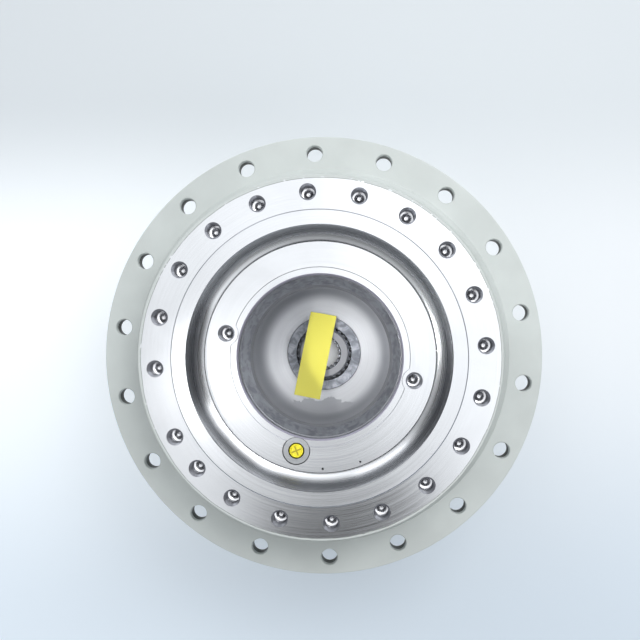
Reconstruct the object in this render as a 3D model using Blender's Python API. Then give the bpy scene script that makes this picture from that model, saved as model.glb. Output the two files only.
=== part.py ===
"""Excavator final drive: a two stage planetary travel reducer, motor side up, standing on its cover.

The spindle bolts to the track frame and stays still. The hub turns round it on two tapered roller bearings
and carries the sprocket. The motor shaft turns the first sun, whose carrier turns the second sun, and the
planets of both stages drive one ring gear, which is clamped between the hub and the cover.
"""

import math

import bmesh
import bpy

RUNNING_GAP = 0.0003
CUT_OVERSHOOT = 0.002

# Heights above the standing face of the cover
SPROCKET_FLANGE_FACE = 0.330
SPROCKET_FLANGE_THICKNESS = 0.028
FRAME_RING_ABOVE_FLANGE = 0.085
FRAME_RING_THICKNESS = 0.034
PILOT_RIM_HEIGHT = 0.023
MOTOR_FACE_DROP = 0.0135

# Sprocket flange and hub
SPROCKET_FLANGE_WIDTH = 0.044
SPROCKET_HOLE_COUNT = 18
SPROCKET_HOLE_EDGE = 0.023
SPROCKET_HOLE_RADIUS = 0.011
SPROCKET_HOLE_PHASE_DEG = 92.1
HUB_COLLAR_WALL = 0.039
HUB_COLLAR_TAPER = 0.018
HUB_COLLAR_GAP = 0.003
HUB_COLLAR_FILLET = 0.008
SPROCKET_SPIGOT_STEP = 0.0045
SPROCKET_SPIGOT_HEIGHT = 0.022
HUB_SHOULDER_WIDTH = 0.009

# Frame mounting ring of the spindle
FRAME_RING_OVERHANG = 0.035
FRAME_FACE_WIDTH = 0.0469
FRAME_HOLE_COUNT = 20
FRAME_HOLE_EDGE = 0.0218
FRAME_HOLE_RADIUS = 0.0102
FRAME_HOLE_DEPTH = 0.029
FRAME_HOLE_PHASE_DEG = 94.1
FRAME_HOLE_INDEX_DEG = {13: 2.2, 14: 6.8}
RIM_WALL = 0.0203
COVE_WIDTH = 0.0168
COVE_UNDERCUT = 0.0045

# Motor side of the spindle
MOTOR_FACE_WIDTH = 0.0426
MOTOR_PILOT_DEPTH = 0.017
MOTOR_TAP_EDGE = 0.0247
MOTOR_TAP_RADIUS = 0.0102
MOTOR_TAP_DEPTH = 0.036
MOTOR_TAP_ANGLES_DEG = (-194.0, -14.0)
PORT_ANGLE_DEG = -104.1
PORT_SPOT_RADIUS = 0.018
PORT_SPOT_DEPTH = 0.0015
PORT_RADIUS = 0.0102
PORT_DEPTH = 0.024
PORT_PLUG_HEAD = 0.001
PORT_PLUG_LENGTH = 0.015
PORT_PLUG_WALL = 0.002
PORT_PLUG_CUP = 0.001
BORE_STEP_WIDTH = 0.0074
BORE_STEP_DEPTH = 0.0365
BORE_STEP_TAPER = 0.009
SHAFT_TUNNEL_STEP = 0.008
BOWL_DEPTH = 0.085
BOWL_FLOOR_ABOVE_FOOT = 0.046

# Main bearings
HUB_WALL = 0.037
BEARING_SECTION = 0.050
BEARING_WIDTH = 0.038
UPPER_BEARING_ABOVE_FLANGE = 0.0265
LOWER_BEARING_ABOVE_GEAR = 0.022
ROLLER_COUNT = 12
ROLLER_SHARE = 0.36
ROLLER_RADIUS = 0.0080
ROLLER_LARGE_END_SHARE = 1.045
ROLLER_END_GAP = 0.002
ROLLER_TRACK_GAP = 0.0009
CAGE_HALF_THICKNESS = 0.0030
NUT_RIM = 0.012
NUT_WIDTH = 0.0125
NUT_THREAD_DEPTH = 0.0035
NUT_SLOT_COUNT = 8
NUT_SLOT_DEPTH = 0.006
NUT_LAND_SHARE = 0.7

# Face seal
SEAL_SEAT_STEP = 0.001
SEAL_FLOAT = 0.0005
SEAL_HOUSING_STEP = 0.009
SEAL_TORIC_SPACE = 0.0105
SEAL_RING_WIDTH = 0.013
SEAL_NECK_GAP = 0.0035
SEAL_GROOVE_DEPTH = 0.0095
SEAL_FACE_ABOVE_BEARING = 0.0141
TORIC_HEIGHT = 0.0084

# Gears: one module and one ring gear for both stages
GEAR_MODULE = 0.009
PRESSURE_ANGLE = math.radians(25)
ADDENDUM_SHARE = 0.8
DEDENDUM_SHARE = 1.0
TOOTH_THINNING = 0.00035
RING_TEETH = 42
SECOND_SUN_TEETH = 12
FIRST_SUN_TEETH = 12
PLANETS_PER_STAGE = 3
FIRST_PLANET_ANGLE = math.radians(90)
RING_GEAR_WALL = 0.029
RING_GEAR_FOOT = 0.034
RING_GEAR_ABOVE_PLANETS = 0.040

# Second stage, on the spindle
CARRIER_RIM_GAP = 0.0238
POCKET_CLEARANCE = 0.003
SECOND_PLANET_FOOT = 0.112
SECOND_PLANET_WIDTH = 0.062
SECOND_LOWER_PLATE = 0.018
SECOND_UPPER_PLATE = 0.0445
SECOND_PIN_RADIUS = 0.026
SECOND_BUSH_WALL = 0.008
SECOND_PIN_SET_BACK = 0.0045
BUSH_END_GAP = 0.001
SPINDLE_SPLINE_RADIUS = 0.122
SPINDLE_SPLINE_DEPTH = 0.004
SPINDLE_SPLINE_TEETH = 16
SPINDLE_SPLINE_LENGTH = 0.022
SPLINE_RUN_OUT = 0.001
SPLINE_SPACE_SHARE = 0.56
SPLINE_TOOTH_SHARE = 0.40
SPINDLE_ABOVE_PLANETS = 0.025
SECOND_CARRIER_BORE = 0.060
SUN_RELIEF = 0.001

# First stage
FIRST_PLANET_FOOT = 0.0376
FIRST_PLANET_WIDTH = 0.036
FIRST_LOWER_PLATE = 0.010
FIRST_UPPER_PLATE = 0.014
FIRST_PIN_RADIUS = 0.024
FIRST_BUSH_WALL = 0.008
FIRST_UPPER_BORE = 0.040
THRUST_GAP = 0.0014

# Input shaft
SUN_SHAFT_RADIUS = 0.019
MOTOR_SHAFT_ROOM = 0.0275
SUN_SHAFT_FOOT = 0.0445
SUN_FACE_STEP = 0.001
SECOND_SUN_BORE = 0.026
INPUT_SPLINE_TEETH = 20
INPUT_SPLINE_RADIUS = 0.0235
INPUT_SPLINE_DEPTH = 0.0024
SLEEVE_LENGTH = 0.0505
SLEEVE_RADIUS = 0.0346
SLEEVE_ABOVE_BOWL = 0.006
SLEEVE_COLLAR_HEIGHT = 0.006
SLEEVE_TOOTH_RADIUS = 0.0395
SLEEVE_TOOTH_DEPTH = 0.0025
SLEEVE_TEETH = 27
GUIDE_PLATE_THICKNESS = 0.0125
GUIDE_RING_WIDTH = 0.0145
GUIDE_LIP_WIDTH = 0.008
GUIDE_BORE_GAP = 0.001

# Cover, its bolts and its plugs
COVER_RIM_HEIGHT = 0.0135
COVER_RIM_WIDTH = 0.037
COVER_BOSS_EDGE = 0.004
COVER_DISH_RADIUS = 0.066
COVER_DISH_DEPTH = 0.006
COVER_INSIDE_HEIGHT = 0.021
COVER_INSIDE_STEP = 0.002
COVER_BOLT_COUNT = 12
COVER_BOLT_PHASE_DEG = 15.0
COVER_BOLT_RADIUS = 0.0080
COVER_BOLT_HEAD_RADIUS = 0.01386
COVER_BOLT_HEAD_HEIGHT = 0.010
COVER_BOLT_CHAMFER = 0.001
COVER_BOLT_GRIP_IN_HUB = 0.032
COVER_BOLT_SPARE_DEPTH = 0.004
PLUG_CIRCLE = 0.130
PLUG_ANGLES_DEG = (0.0, 90.0)
PLUG_RADIUS = 0.013
PLUG_HEAD_RADIUS = 0.018
PLUG_HEAD_HEIGHT = 0.008
PLUG_SET_BACK = 0.001
BUTTON_RADIUS = 0.017
BUTTON_CROWN = 0.004

# Numbers of flat sides in the round pieces
HUB_SIDES = 40
SPINDLE_SIDES = 32
CARRIER_SIDES = 20
POCKET_SIDES = 16
SEAL_SIDES = 24
HOLE_SIDES = 8
PIN_SIDES = 10
SLEEVE_SIDES = 20
BOLT_SIDES = 6
PLANET_FLANK_STEPS = 2
RING_FLANK_STEPS = 1
COVE_STEPS = 4
BOWL_STEPS = 4
TOOTH_SIDE_SHARE = 0.25
ON_AXIS = 1e-6
FLAT_ANGLE = math.radians(0.5)
SHARP_EDGE_ANGLE = math.radians(35)

FINISHES = {
    "grey_paint": ((0.52, 0.55, 0.52), 0.45, 0.0),
    "machined_steel": ((0.62, 0.62, 0.62), 0.28, 1.0),
    "dark_steel": ((0.12, 0.12, 0.14), 0.40, 1.0),
    "bearing_steel": ((0.55, 0.56, 0.58), 0.18, 1.0),
    "bronze": ((0.52, 0.34, 0.14), 0.35, 1.0),
    "rubber": ((0.03, 0.03, 0.03), 0.80, 0.0),
    "yellow_plastic": ((0.85, 0.62, 0.04), 0.45, 0.0),
    "zinc_steel": ((0.50, 0.50, 0.46), 0.35, 1.0),
}


def pitch_radius(teeth):
    return GEAR_MODULE * teeth / 2


def tip_radius(teeth):
    return pitch_radius(teeth) + ADDENDUM_SHARE * GEAR_MODULE


FRAME_RING_FACE = SPROCKET_FLANGE_FACE + FRAME_RING_ABOVE_FLANGE
FRAME_RING_FOOT = FRAME_RING_FACE - FRAME_RING_THICKNESS
RIM_TOP = FRAME_RING_FACE + PILOT_RIM_HEIGHT
FIRST_PLANET_TOP = FIRST_PLANET_FOOT + FIRST_PLANET_WIDTH
SECOND_PLANET_TOP = SECOND_PLANET_FOOT + SECOND_PLANET_WIDTH
RING_GEAR_TOP = SECOND_PLANET_TOP + RING_GEAR_ABOVE_PLANETS
UPPER_BEARING_TOP = SPROCKET_FLANGE_FACE + UPPER_BEARING_ABOVE_FLANGE
LOWER_BEARING_FOOT = RING_GEAR_TOP + LOWER_BEARING_ABOVE_GEAR
RING_ROOT_RADIUS = pitch_radius(RING_TEETH) + DEDENDUM_SHARE * GEAR_MODULE
RING_TIP_RADIUS = pitch_radius(RING_TEETH) - ADDENDUM_SHARE * GEAR_MODULE
RING_GEAR_RADIUS = RING_ROOT_RADIUS + RING_GEAR_WALL
HUB_BARREL_RADIUS = RING_GEAR_RADIUS
CARRIER_RADIUS = RING_TIP_RADIUS - CARRIER_RIM_GAP
BEARING_OUTSIDE_RADIUS = HUB_BARREL_RADIUS - HUB_WALL
BEARING_BORE_RADIUS = BEARING_OUTSIDE_RADIUS - BEARING_SECTION
NUT_RADIUS = BEARING_BORE_RADIUS + NUT_RIM
BOWL_FLOOR_RADIUS = SLEEVE_TOOTH_RADIUS + GUIDE_RING_WIDTH
SEAL_HOUSING_RADIUS = BEARING_OUTSIDE_RADIUS + SEAL_HOUSING_STEP
SEAL_RING_RADIUS = SEAL_HOUSING_RADIUS - SEAL_TORIC_SPACE
SEAL_NECK_RADIUS = SEAL_RING_RADIUS - SEAL_RING_WIDTH - SEAL_NECK_GAP
SEAL_GROOVE_HEIGHT = FRAME_RING_FOOT + SEAL_GROOVE_DEPTH
SEAL_FACE_HEIGHT = UPPER_BEARING_TOP + SEAL_FACE_ABOVE_BEARING
FRAME_RING_RADIUS = SEAL_HOUSING_RADIUS + FRAME_RING_OVERHANG
FRAME_HOLE_CIRCLE = FRAME_RING_RADIUS - FRAME_HOLE_EDGE
PILOT_RADIUS = FRAME_RING_RADIUS - FRAME_FACE_WIDTH
RIM_BORE_RADIUS = PILOT_RADIUS - RIM_WALL
MOTOR_FACE_RADIUS = RIM_BORE_RADIUS - COVE_WIDTH
MOTOR_TAP_CIRCLE = MOTOR_FACE_RADIUS - MOTOR_TAP_EDGE
MOTOR_PILOT_RADIUS = MOTOR_FACE_RADIUS - MOTOR_FACE_WIDTH
BORE_STEP_RADIUS = MOTOR_PILOT_RADIUS - BORE_STEP_WIDTH
SHAFT_TUNNEL_RADIUS = BORE_STEP_RADIUS - SHAFT_TUNNEL_STEP
MOTOR_FACE = FRAME_RING_FACE - MOTOR_FACE_DROP
SPROCKET_SEAT = SPROCKET_FLANGE_FACE - SPROCKET_FLANGE_THICKNESS
HUB_COLLAR_TOP_RADIUS = SEAL_HOUSING_RADIUS + HUB_COLLAR_WALL
HUB_COLLAR_FOOT_RADIUS = HUB_COLLAR_TOP_RADIUS + HUB_COLLAR_TAPER
SPROCKET_FLANGE_RADIUS = HUB_COLLAR_FOOT_RADIUS + SPROCKET_FLANGE_WIDTH
SPROCKET_HOLE_CIRCLE = SPROCKET_FLANGE_RADIUS - SPROCKET_HOLE_EDGE
HUB_SHOULDER_RADIUS = BEARING_OUTSIDE_RADIUS - HUB_SHOULDER_WIDTH
SPROCKET_SPIGOT_RADIUS = HUB_BARREL_RADIUS + SPROCKET_SPIGOT_STEP
COVER_BOLT_CIRCLE = (RING_ROOT_RADIUS + RING_GEAR_RADIUS) / 2
COVER_BOSS_RADIUS = RING_GEAR_RADIUS - COVER_RIM_WIDTH
COVER_INSIDE_RADIUS = COVER_BOSS_RADIUS + COVER_INSIDE_STEP
SECOND_PLANET_TEETH = (RING_TEETH - SECOND_SUN_TEETH) // 2
FIRST_PLANET_TEETH = (RING_TEETH - FIRST_SUN_TEETH) // 2
SECOND_CENTRES = pitch_radius(SECOND_SUN_TEETH + SECOND_PLANET_TEETH)
FIRST_CENTRES = pitch_radius(FIRST_SUN_TEETH + FIRST_PLANET_TEETH)
SPINDLE_FOOT = SECOND_PLANET_TOP + SPINDLE_ABOVE_PLANETS
SECOND_PIN_TOP = SPINDLE_FOOT - SECOND_PIN_SET_BACK
NUT_FOOT = LOWER_BEARING_FOOT - NUT_WIDTH
BOWL_FLOOR_HEIGHT = SPINDLE_FOOT + BOWL_FLOOR_ABOVE_FOOT
GUIDE_SEAT = BOWL_FLOOR_HEIGHT - GUIDE_PLATE_THICKNESS
SLEEVE_TOP = BOWL_FLOOR_HEIGHT + SLEEVE_ABOVE_BOWL
SUN_SHAFT_TOP = SLEEVE_TOP - MOTOR_SHAFT_ROOM
INPUT_SPLINE_FOOT = SLEEVE_TOP - SLEEVE_LENGTH


def clear_scene():
    for item in list(bpy.data.objects):
        bpy.data.objects.remove(item, do_unlink=True)


def finish_material(piece_name, finish):
    """Return a new material for one piece, in one of the named finishes."""
    colour, roughness, metallic = FINISHES[finish]
    made = bpy.data.materials.new(piece_name + "_" + finish)
    made.use_nodes = True
    shader = made.node_tree.nodes["Principled BSDF"]
    shader.inputs["Base Color"].default_value = (*colour, 1.0)
    shader.inputs["Roughness"].default_value = roughness
    shader.inputs["Metallic"].default_value = metallic
    made.diffuse_color = (*colour, 1.0)
    return made


def axis_empty(name, location=(0, 0, 0), parent=None):
    """Add an empty on a joint axis, for the pieces that turn about it."""
    empty = bpy.data.objects.new(name, None)
    bpy.context.collection.objects.link(empty)
    empty.location = location
    empty.parent = parent
    return empty


def add_piece(name, shape, finish, parent=None, location=(0, 0, 0)):
    """Turn a bmesh into a named object with its own material."""
    bmesh.ops.recalc_face_normals(shape, faces=shape.faces[:])
    mesh = bpy.data.meshes.new(name)
    shape.to_mesh(mesh)
    shape.free()
    mesh.shade_smooth()
    mesh.set_sharp_from_angle(angle=SHARP_EDGE_ANGLE)
    mesh.materials.append(finish_material(name, finish))
    piece = bpy.data.objects.new(name, mesh)
    bpy.context.collection.objects.link(piece)
    piece.location = location
    piece.parent = parent
    return piece


def add_tool(name, shape):
    """Add a guide solid that only shapes another piece."""
    tool = add_piece(name, shape, "machined_steel")
    tool.hide_render = True
    tool.display_type = "WIRE"
    return tool


def combine(piece, shape, operation):
    """Cut a shape from a piece, or join it on, with a Boolean modifier."""
    label = piece.name + "_" + operation.lower() + str(len(piece.modifiers))
    step = piece.modifiers.new(label, "BOOLEAN")
    step.operation = operation
    step.solver = "EXACT"
    step.object = add_tool(label, shape)
    return piece


def merge_flats(piece):
    """Join the faces that lie in one plane, which the cuts left in many pieces."""
    step = piece.modifiers.new(piece.name + "_flats", "DECIMATE")
    step.decimate_type = "DISSOLVE"
    step.angle_limit = FLAT_ANGLE
    return piece


def turned(outline, sides):
    """Turn a closed outline of (radius, height) points once round the Z axis."""
    shape = bmesh.new()
    rings = []
    for radius, height in outline:
        if radius < ON_AXIS:
            rings.append([shape.verts.new((0, 0, height))] * sides)
            continue
        ring = []
        for step in range(sides):
            angle = math.tau * step / sides
            ring.append(shape.verts.new((radius * math.cos(angle), radius * math.sin(angle), height)))
        rings.append(ring)
    for ring, following in zip(rings, rings[1:] + rings[:1]):
        for step in range(sides):
            after = (step + 1) % sides
            corners = [ring[step], ring[after], following[after], following[step]]
            corners = list(dict.fromkeys(corners))
            if len(corners) > 2:
                shape.faces.new(corners)
    return shape


def plate(loops, foot, top, growth=1.0):
    """Raise a flat outline with holes to a prism, whose top may be larger than its foot."""
    shape = bmesh.new()
    edges = []
    for loop in loops:
        corners = [shape.verts.new((x, y, foot)) for x, y in loop]
        edges += [shape.edges.new(pair) for pair in zip(corners, corners[1:] + corners[:1])]
    bmesh.ops.triangle_fill(shape, use_beauty=True, edges=edges)
    raised = bmesh.ops.extrude_face_region(shape, geom=shape.faces[:])
    upper = [item for item in raised["geom"] if isinstance(item, bmesh.types.BMVert)]
    bmesh.ops.translate(shape, vec=(0, 0, top - foot), verts=upper)
    bmesh.ops.scale(shape, vec=(growth, growth, 1), verts=upper)
    return shape


def together(shapes):
    """Gather separate shapes into one bmesh, to be used as one cutter."""
    gathered = bmesh.new()
    for shape in shapes:
        mesh = bpy.data.meshes.new("part_of_cutter")
        shape.to_mesh(mesh)
        shape.free()
        gathered.from_mesh(mesh)
        bpy.data.meshes.remove(mesh)
    return gathered


def circle(radius, sides, centre=(0.0, 0.0), turn=0.0):
    points = []
    for step in range(sides):
        angle = turn + math.tau * step / sides
        points.append((centre[0] + radius * math.cos(angle), centre[1] + radius * math.sin(angle)))
    return points


def polar(radius, angle_deg):
    angle = math.radians(angle_deg)
    return (radius * math.cos(angle), radius * math.sin(angle))


def ring_of_points(radius, count, phase_deg=0.0, shift_deg=None):
    """Points evenly spaced clockwise on a circle, some of them shifted by their own angle."""
    shift_deg = shift_deg or {}
    return [polar(radius, phase_deg - 360 * k / count + shift_deg.get(k, 0.0)) for k in range(count)]


def holes(centres, radius, foot, top, sides=HOLE_SIDES, turn=0.0):
    """Round cutters of one size, one at each centre."""
    return together([plate([circle(radius, sides, centre, turn)], foot, top) for centre in centres])


def toothed_circle(teeth, low, high, tooth_share=0.5, turn=0.0):
    """A circle with straight sided teeth, as on a spline, a slotted nut or a row of rollers."""
    points = []
    half = math.pi * tooth_share / teeth
    gap_half = math.pi / teeth - half
    taper = TOOTH_SIDE_SHARE * min(half, gap_half)
    foot, tip = half + taper, half - taper
    for k in range(teeth):
        middle = turn + math.tau * k / teeth
        for radius, offset in ((low, -foot), (high, -tip), (high, tip), (low, foot)):
            points.append((radius * math.cos(middle + offset), radius * math.sin(middle + offset)))
    return points


def involute(angle):
    return math.tan(angle) - angle


def tooth_half_angle(teeth, radius, side):
    """Half the angle that a tooth takes at a radius: side is 1 on an outside gear and -1 on a ring gear."""
    base = pitch_radius(teeth) * math.cos(PRESSURE_ANGLE)
    here = math.acos(min(1.0, base / radius)) if radius > base else 0.0
    lean = involute(PRESSURE_ANGLE) - involute(here)
    return math.pi / (2 * teeth) - TOOTH_THINNING / pitch_radius(teeth) + side * lean


def gear_outline(teeth, phase=0.0, side=1, grown=0.0):
    """Outline of a gear with involute flanks, a tooth pointing along the phase angle."""
    tip = pitch_radius(teeth) + side * ADDENDUM_SHARE * GEAR_MODULE
    root = pitch_radius(teeth) - side * DEDENDUM_SHARE * GEAR_MODULE
    steps = PLANET_FLANK_STEPS if side > 0 else RING_FLANK_STEPS
    flank = [root + (tip - root) * step / steps for step in range(steps + 1)]
    points = []
    for k in range(teeth):
        middle = phase + math.tau * k / teeth
        halves = [tooth_half_angle(teeth, radius, side) + grown / radius for radius in flank]
        rising = [(radius + grown, middle - half) for radius, half in zip(flank, halves)]
        falling = [(radius + grown, middle + half) for radius, half in zip(flank, halves)]
        for radius, angle in rising + falling[::-1]:
            points.append((radius * math.cos(angle), radius * math.sin(angle)))
    return points


def planet_angles():
    return [FIRST_PLANET_ANGLE + math.tau * k / PLANETS_PER_STAGE for k in range(PLANETS_PER_STAGE)]


def planet_phase(teeth, angle):
    """Turn of a planet whose tooth spaces take the ring gear's teeth, one of which points along X."""
    ring_share = angle * RING_TEETH / math.tau
    return angle - math.tau * (ring_share - 0.5) / teeth


def sun_phase(sun_teeth, planet_teeth):
    """Turn of a sun gear that meshes with the first planet of its stage."""
    angle = planet_angles()[0]
    return (angle * (sun_teeth + RING_TEETH) + math.pi * planet_teeth) / sun_teeth


def cove_points():
    """The hollow curve that rises from just under the motor face to the top of the pilot rim."""
    width = RIM_BORE_RADIUS - MOTOR_FACE_RADIUS
    height = RIM_TOP - MOTOR_FACE + COVE_UNDERCUT
    points = [(MOTOR_FACE_RADIUS, MOTOR_FACE)]
    for step in range(COVE_STEPS + 1):
        angle = math.tau / 4 * step / COVE_STEPS
        points.append((MOTOR_FACE_RADIUS + width * math.sin(angle), RIM_TOP - height * math.cos(angle)))
    return points


def bowl_points():
    """The bowl's curve, a parabola from the floor up to the upright wall of the shaft tunnel."""
    width = SHAFT_TUNNEL_RADIUS - BOWL_FLOOR_RADIUS
    points = []
    for step in range(BOWL_STEPS + 1):
        rise = step / BOWL_STEPS
        points.append((SHAFT_TUNNEL_RADIUS - width * (1 - rise) ** 2, BOWL_FLOOR_HEIGHT + BOWL_DEPTH * rise))
    return points


def spindle_outline():
    thread_radius = BEARING_BORE_RADIUS - NUT_THREAD_DEPTH
    spline_top = SPINDLE_FOOT + SPINDLE_SPLINE_LENGTH
    outside = [
        (PILOT_RADIUS, RIM_TOP),
        (PILOT_RADIUS, FRAME_RING_FACE),
        (FRAME_RING_RADIUS, FRAME_RING_FACE),
        (FRAME_RING_RADIUS, FRAME_RING_FOOT),
        (SEAL_HOUSING_RADIUS, FRAME_RING_FOOT),
        (SEAL_HOUSING_RADIUS, SEAL_GROOVE_HEIGHT),
        (SEAL_NECK_RADIUS, SEAL_GROOVE_HEIGHT),
        (SEAL_NECK_RADIUS, UPPER_BEARING_TOP),
        (BEARING_BORE_RADIUS, UPPER_BEARING_TOP),
        (BEARING_BORE_RADIUS, LOWER_BEARING_FOOT),
        (thread_radius, LOWER_BEARING_FOOT),
        (thread_radius, spline_top),
        (SPINDLE_SPLINE_RADIUS, spline_top),
        (SPINDLE_SPLINE_RADIUS, SPINDLE_FOOT),
    ]
    inside = [
        (BOWL_FLOOR_RADIUS - GUIDE_LIP_WIDTH, SPINDLE_FOOT),
        (BOWL_FLOOR_RADIUS - GUIDE_LIP_WIDTH, GUIDE_SEAT - RUNNING_GAP),
        (BOWL_FLOOR_RADIUS, GUIDE_SEAT - RUNNING_GAP),
    ]
    bore = [
        (SHAFT_TUNNEL_RADIUS, MOTOR_FACE - BORE_STEP_DEPTH),
        (BORE_STEP_RADIUS, MOTOR_FACE - BORE_STEP_DEPTH + BORE_STEP_TAPER),
        (BORE_STEP_RADIUS, MOTOR_FACE - MOTOR_PILOT_DEPTH),
        (MOTOR_PILOT_RADIUS, MOTOR_FACE - MOTOR_PILOT_DEPTH),
        (MOTOR_PILOT_RADIUS, MOTOR_FACE),
    ]
    return outside + inside + bowl_points() + bore + cove_points()


def frame_hole_centres():
    return ring_of_points(FRAME_HOLE_CIRCLE, FRAME_HOLE_COUNT, FRAME_HOLE_PHASE_DEG, FRAME_HOLE_INDEX_DEG)


def make_spindle():
    """The still body: frame ring, pilot rim, motor face, bowl, bearing seats and the carrier's spline."""
    above = RIM_TOP + CUT_OVERSHOOT
    spindle = add_piece("spindle", turned(spindle_outline(), SPINDLE_SIDES), "machined_steel")
    frame_holes = holes(frame_hole_centres(), FRAME_HOLE_RADIUS, FRAME_RING_FACE - FRAME_HOLE_DEPTH, above)
    taps = [polar(MOTOR_TAP_CIRCLE, angle) for angle in MOTOR_TAP_ANGLES_DEG]
    motor_holes = holes(taps, MOTOR_TAP_RADIUS, MOTOR_FACE - MOTOR_TAP_DEPTH, above)
    port_centre = polar(MOTOR_TAP_CIRCLE, PORT_ANGLE_DEG)
    spot_foot = MOTOR_FACE - PORT_SPOT_DEPTH
    port_spot = holes([port_centre], PORT_SPOT_RADIUS, spot_foot, above, PIN_SIDES)
    port_hole = holes([port_centre], PORT_RADIUS, spot_foot - PORT_DEPTH, above, PIN_SIDES)
    combine(spindle, together([frame_holes, motor_holes, port_spot]), "DIFFERENCE")
    combine(spindle, port_hole, "DIFFERENCE")
    spline_root = SPINDLE_SPLINE_RADIUS - SPINDLE_SPLINE_DEPTH
    spline = toothed_circle(SPINDLE_SPLINE_TEETH, spline_root, SPINDLE_SPLINE_RADIUS - RUNNING_GAP)
    clearing = circle(BEARING_BORE_RADIUS, SPINDLE_SPLINE_TEETH)
    spline_top = SPINDLE_FOOT + SPINDLE_SPLINE_LENGTH - SPLINE_RUN_OUT
    combine(spindle, plate([clearing, spline], SPINDLE_FOOT - CUT_OVERSHOOT, spline_top), "DIFFERENCE")
    return merge_flats(spindle)


def make_port_plug():
    """Shipping plug pressed into the oil port, a shallow cup that stands just above the spot face."""
    top = MOTOR_FACE - PORT_SPOT_DEPTH + PORT_PLUG_HEAD
    radius = PORT_RADIUS - RUNNING_GAP
    outline = [
        (0, top - PORT_PLUG_CUP),
        (radius - PORT_PLUG_WALL, top - PORT_PLUG_CUP),
        (radius - PORT_PLUG_WALL / 2, top),
        (radius, top - PORT_PLUG_CUP),
        (radius, top - PORT_PLUG_LENGTH),
        (0, top - PORT_PLUG_LENGTH),
    ]
    centre = polar(MOTOR_TAP_CIRCLE, PORT_ANGLE_DEG)
    return add_piece("port_plug", turned(outline, PIN_SIDES), "yellow_plastic", location=(*centre, 0))


def hub_outline():
    collar_top = FRAME_RING_FOOT - HUB_COLLAR_GAP
    lower_race_top = LOWER_BEARING_FOOT + BEARING_WIDTH
    upper_race_foot = UPPER_BEARING_TOP - BEARING_WIDTH
    return [
        (SEAL_HOUSING_RADIUS, collar_top),
        (HUB_COLLAR_TOP_RADIUS, collar_top),
        (HUB_COLLAR_FOOT_RADIUS - HUB_COLLAR_FILLET, SPROCKET_FLANGE_FACE + HUB_COLLAR_FILLET),
        (HUB_COLLAR_FOOT_RADIUS, SPROCKET_FLANGE_FACE),
        (SPROCKET_FLANGE_RADIUS, SPROCKET_FLANGE_FACE),
        (SPROCKET_FLANGE_RADIUS, SPROCKET_SEAT),
        (SPROCKET_SPIGOT_RADIUS, SPROCKET_SEAT),
        (SPROCKET_SPIGOT_RADIUS, SPROCKET_SEAT - SPROCKET_SPIGOT_HEIGHT),
        (HUB_BARREL_RADIUS, SPROCKET_SEAT - SPROCKET_SPIGOT_HEIGHT),
        (HUB_BARREL_RADIUS, RING_GEAR_TOP),
        (BEARING_OUTSIDE_RADIUS, RING_GEAR_TOP),
        (BEARING_OUTSIDE_RADIUS, lower_race_top),
        (HUB_SHOULDER_RADIUS, lower_race_top),
        (HUB_SHOULDER_RADIUS, upper_race_foot),
        (BEARING_OUTSIDE_RADIUS, upper_race_foot),
        (BEARING_OUTSIDE_RADIUS, UPPER_BEARING_TOP + SEAL_SEAT_STEP),
        (SEAL_HOUSING_RADIUS, UPPER_BEARING_TOP + SEAL_SEAT_STEP),
    ]


def cover_bolt_centres():
    return ring_of_points(COVER_BOLT_CIRCLE, COVER_BOLT_COUNT, COVER_BOLT_PHASE_DEG)


def make_hub(hub_axis):
    """The turning housing with the sprocket flange, both outer race seats and the seal collar."""
    hub = add_piece("hub", turned(hub_outline(), HUB_SIDES), "grey_paint", hub_axis)
    sprocket_holes = holes(
        ring_of_points(SPROCKET_HOLE_CIRCLE, SPROCKET_HOLE_COUNT, SPROCKET_HOLE_PHASE_DEG),
        SPROCKET_HOLE_RADIUS,
        SPROCKET_SEAT - CUT_OVERSHOOT,
        SPROCKET_FLANGE_FACE + CUT_OVERSHOOT,
    )
    bolt_holes = holes(
        cover_bolt_centres(),
        COVER_BOLT_RADIUS + RUNNING_GAP,
        RING_GEAR_TOP - CUT_OVERSHOOT,
        RING_GEAR_TOP + COVER_BOLT_GRIP_IN_HUB + COVER_BOLT_SPARE_DEPTH,
        BOLT_SIDES,
    )
    return merge_flats(combine(hub, together([sprocket_holes, bolt_holes]), "DIFFERENCE"))


def make_ring_gear(hub_axis):
    """The toothed ring that both rows of planets drive, with the cover bolts through its wall."""
    bolt_hole = COVER_BOLT_RADIUS + RUNNING_GAP
    outlines = [circle(RING_GEAR_RADIUS, HUB_SIDES), gear_outline(RING_TEETH, side=-1)]
    outlines += [circle(bolt_hole, BOLT_SIDES, centre) for centre in cover_bolt_centres()]
    shape = plate(outlines, RING_GEAR_FOOT + RUNNING_GAP, RING_GEAR_TOP - RUNNING_GAP)
    return add_piece("ring_gear", shape, "machined_steel", hub_axis)


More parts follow.
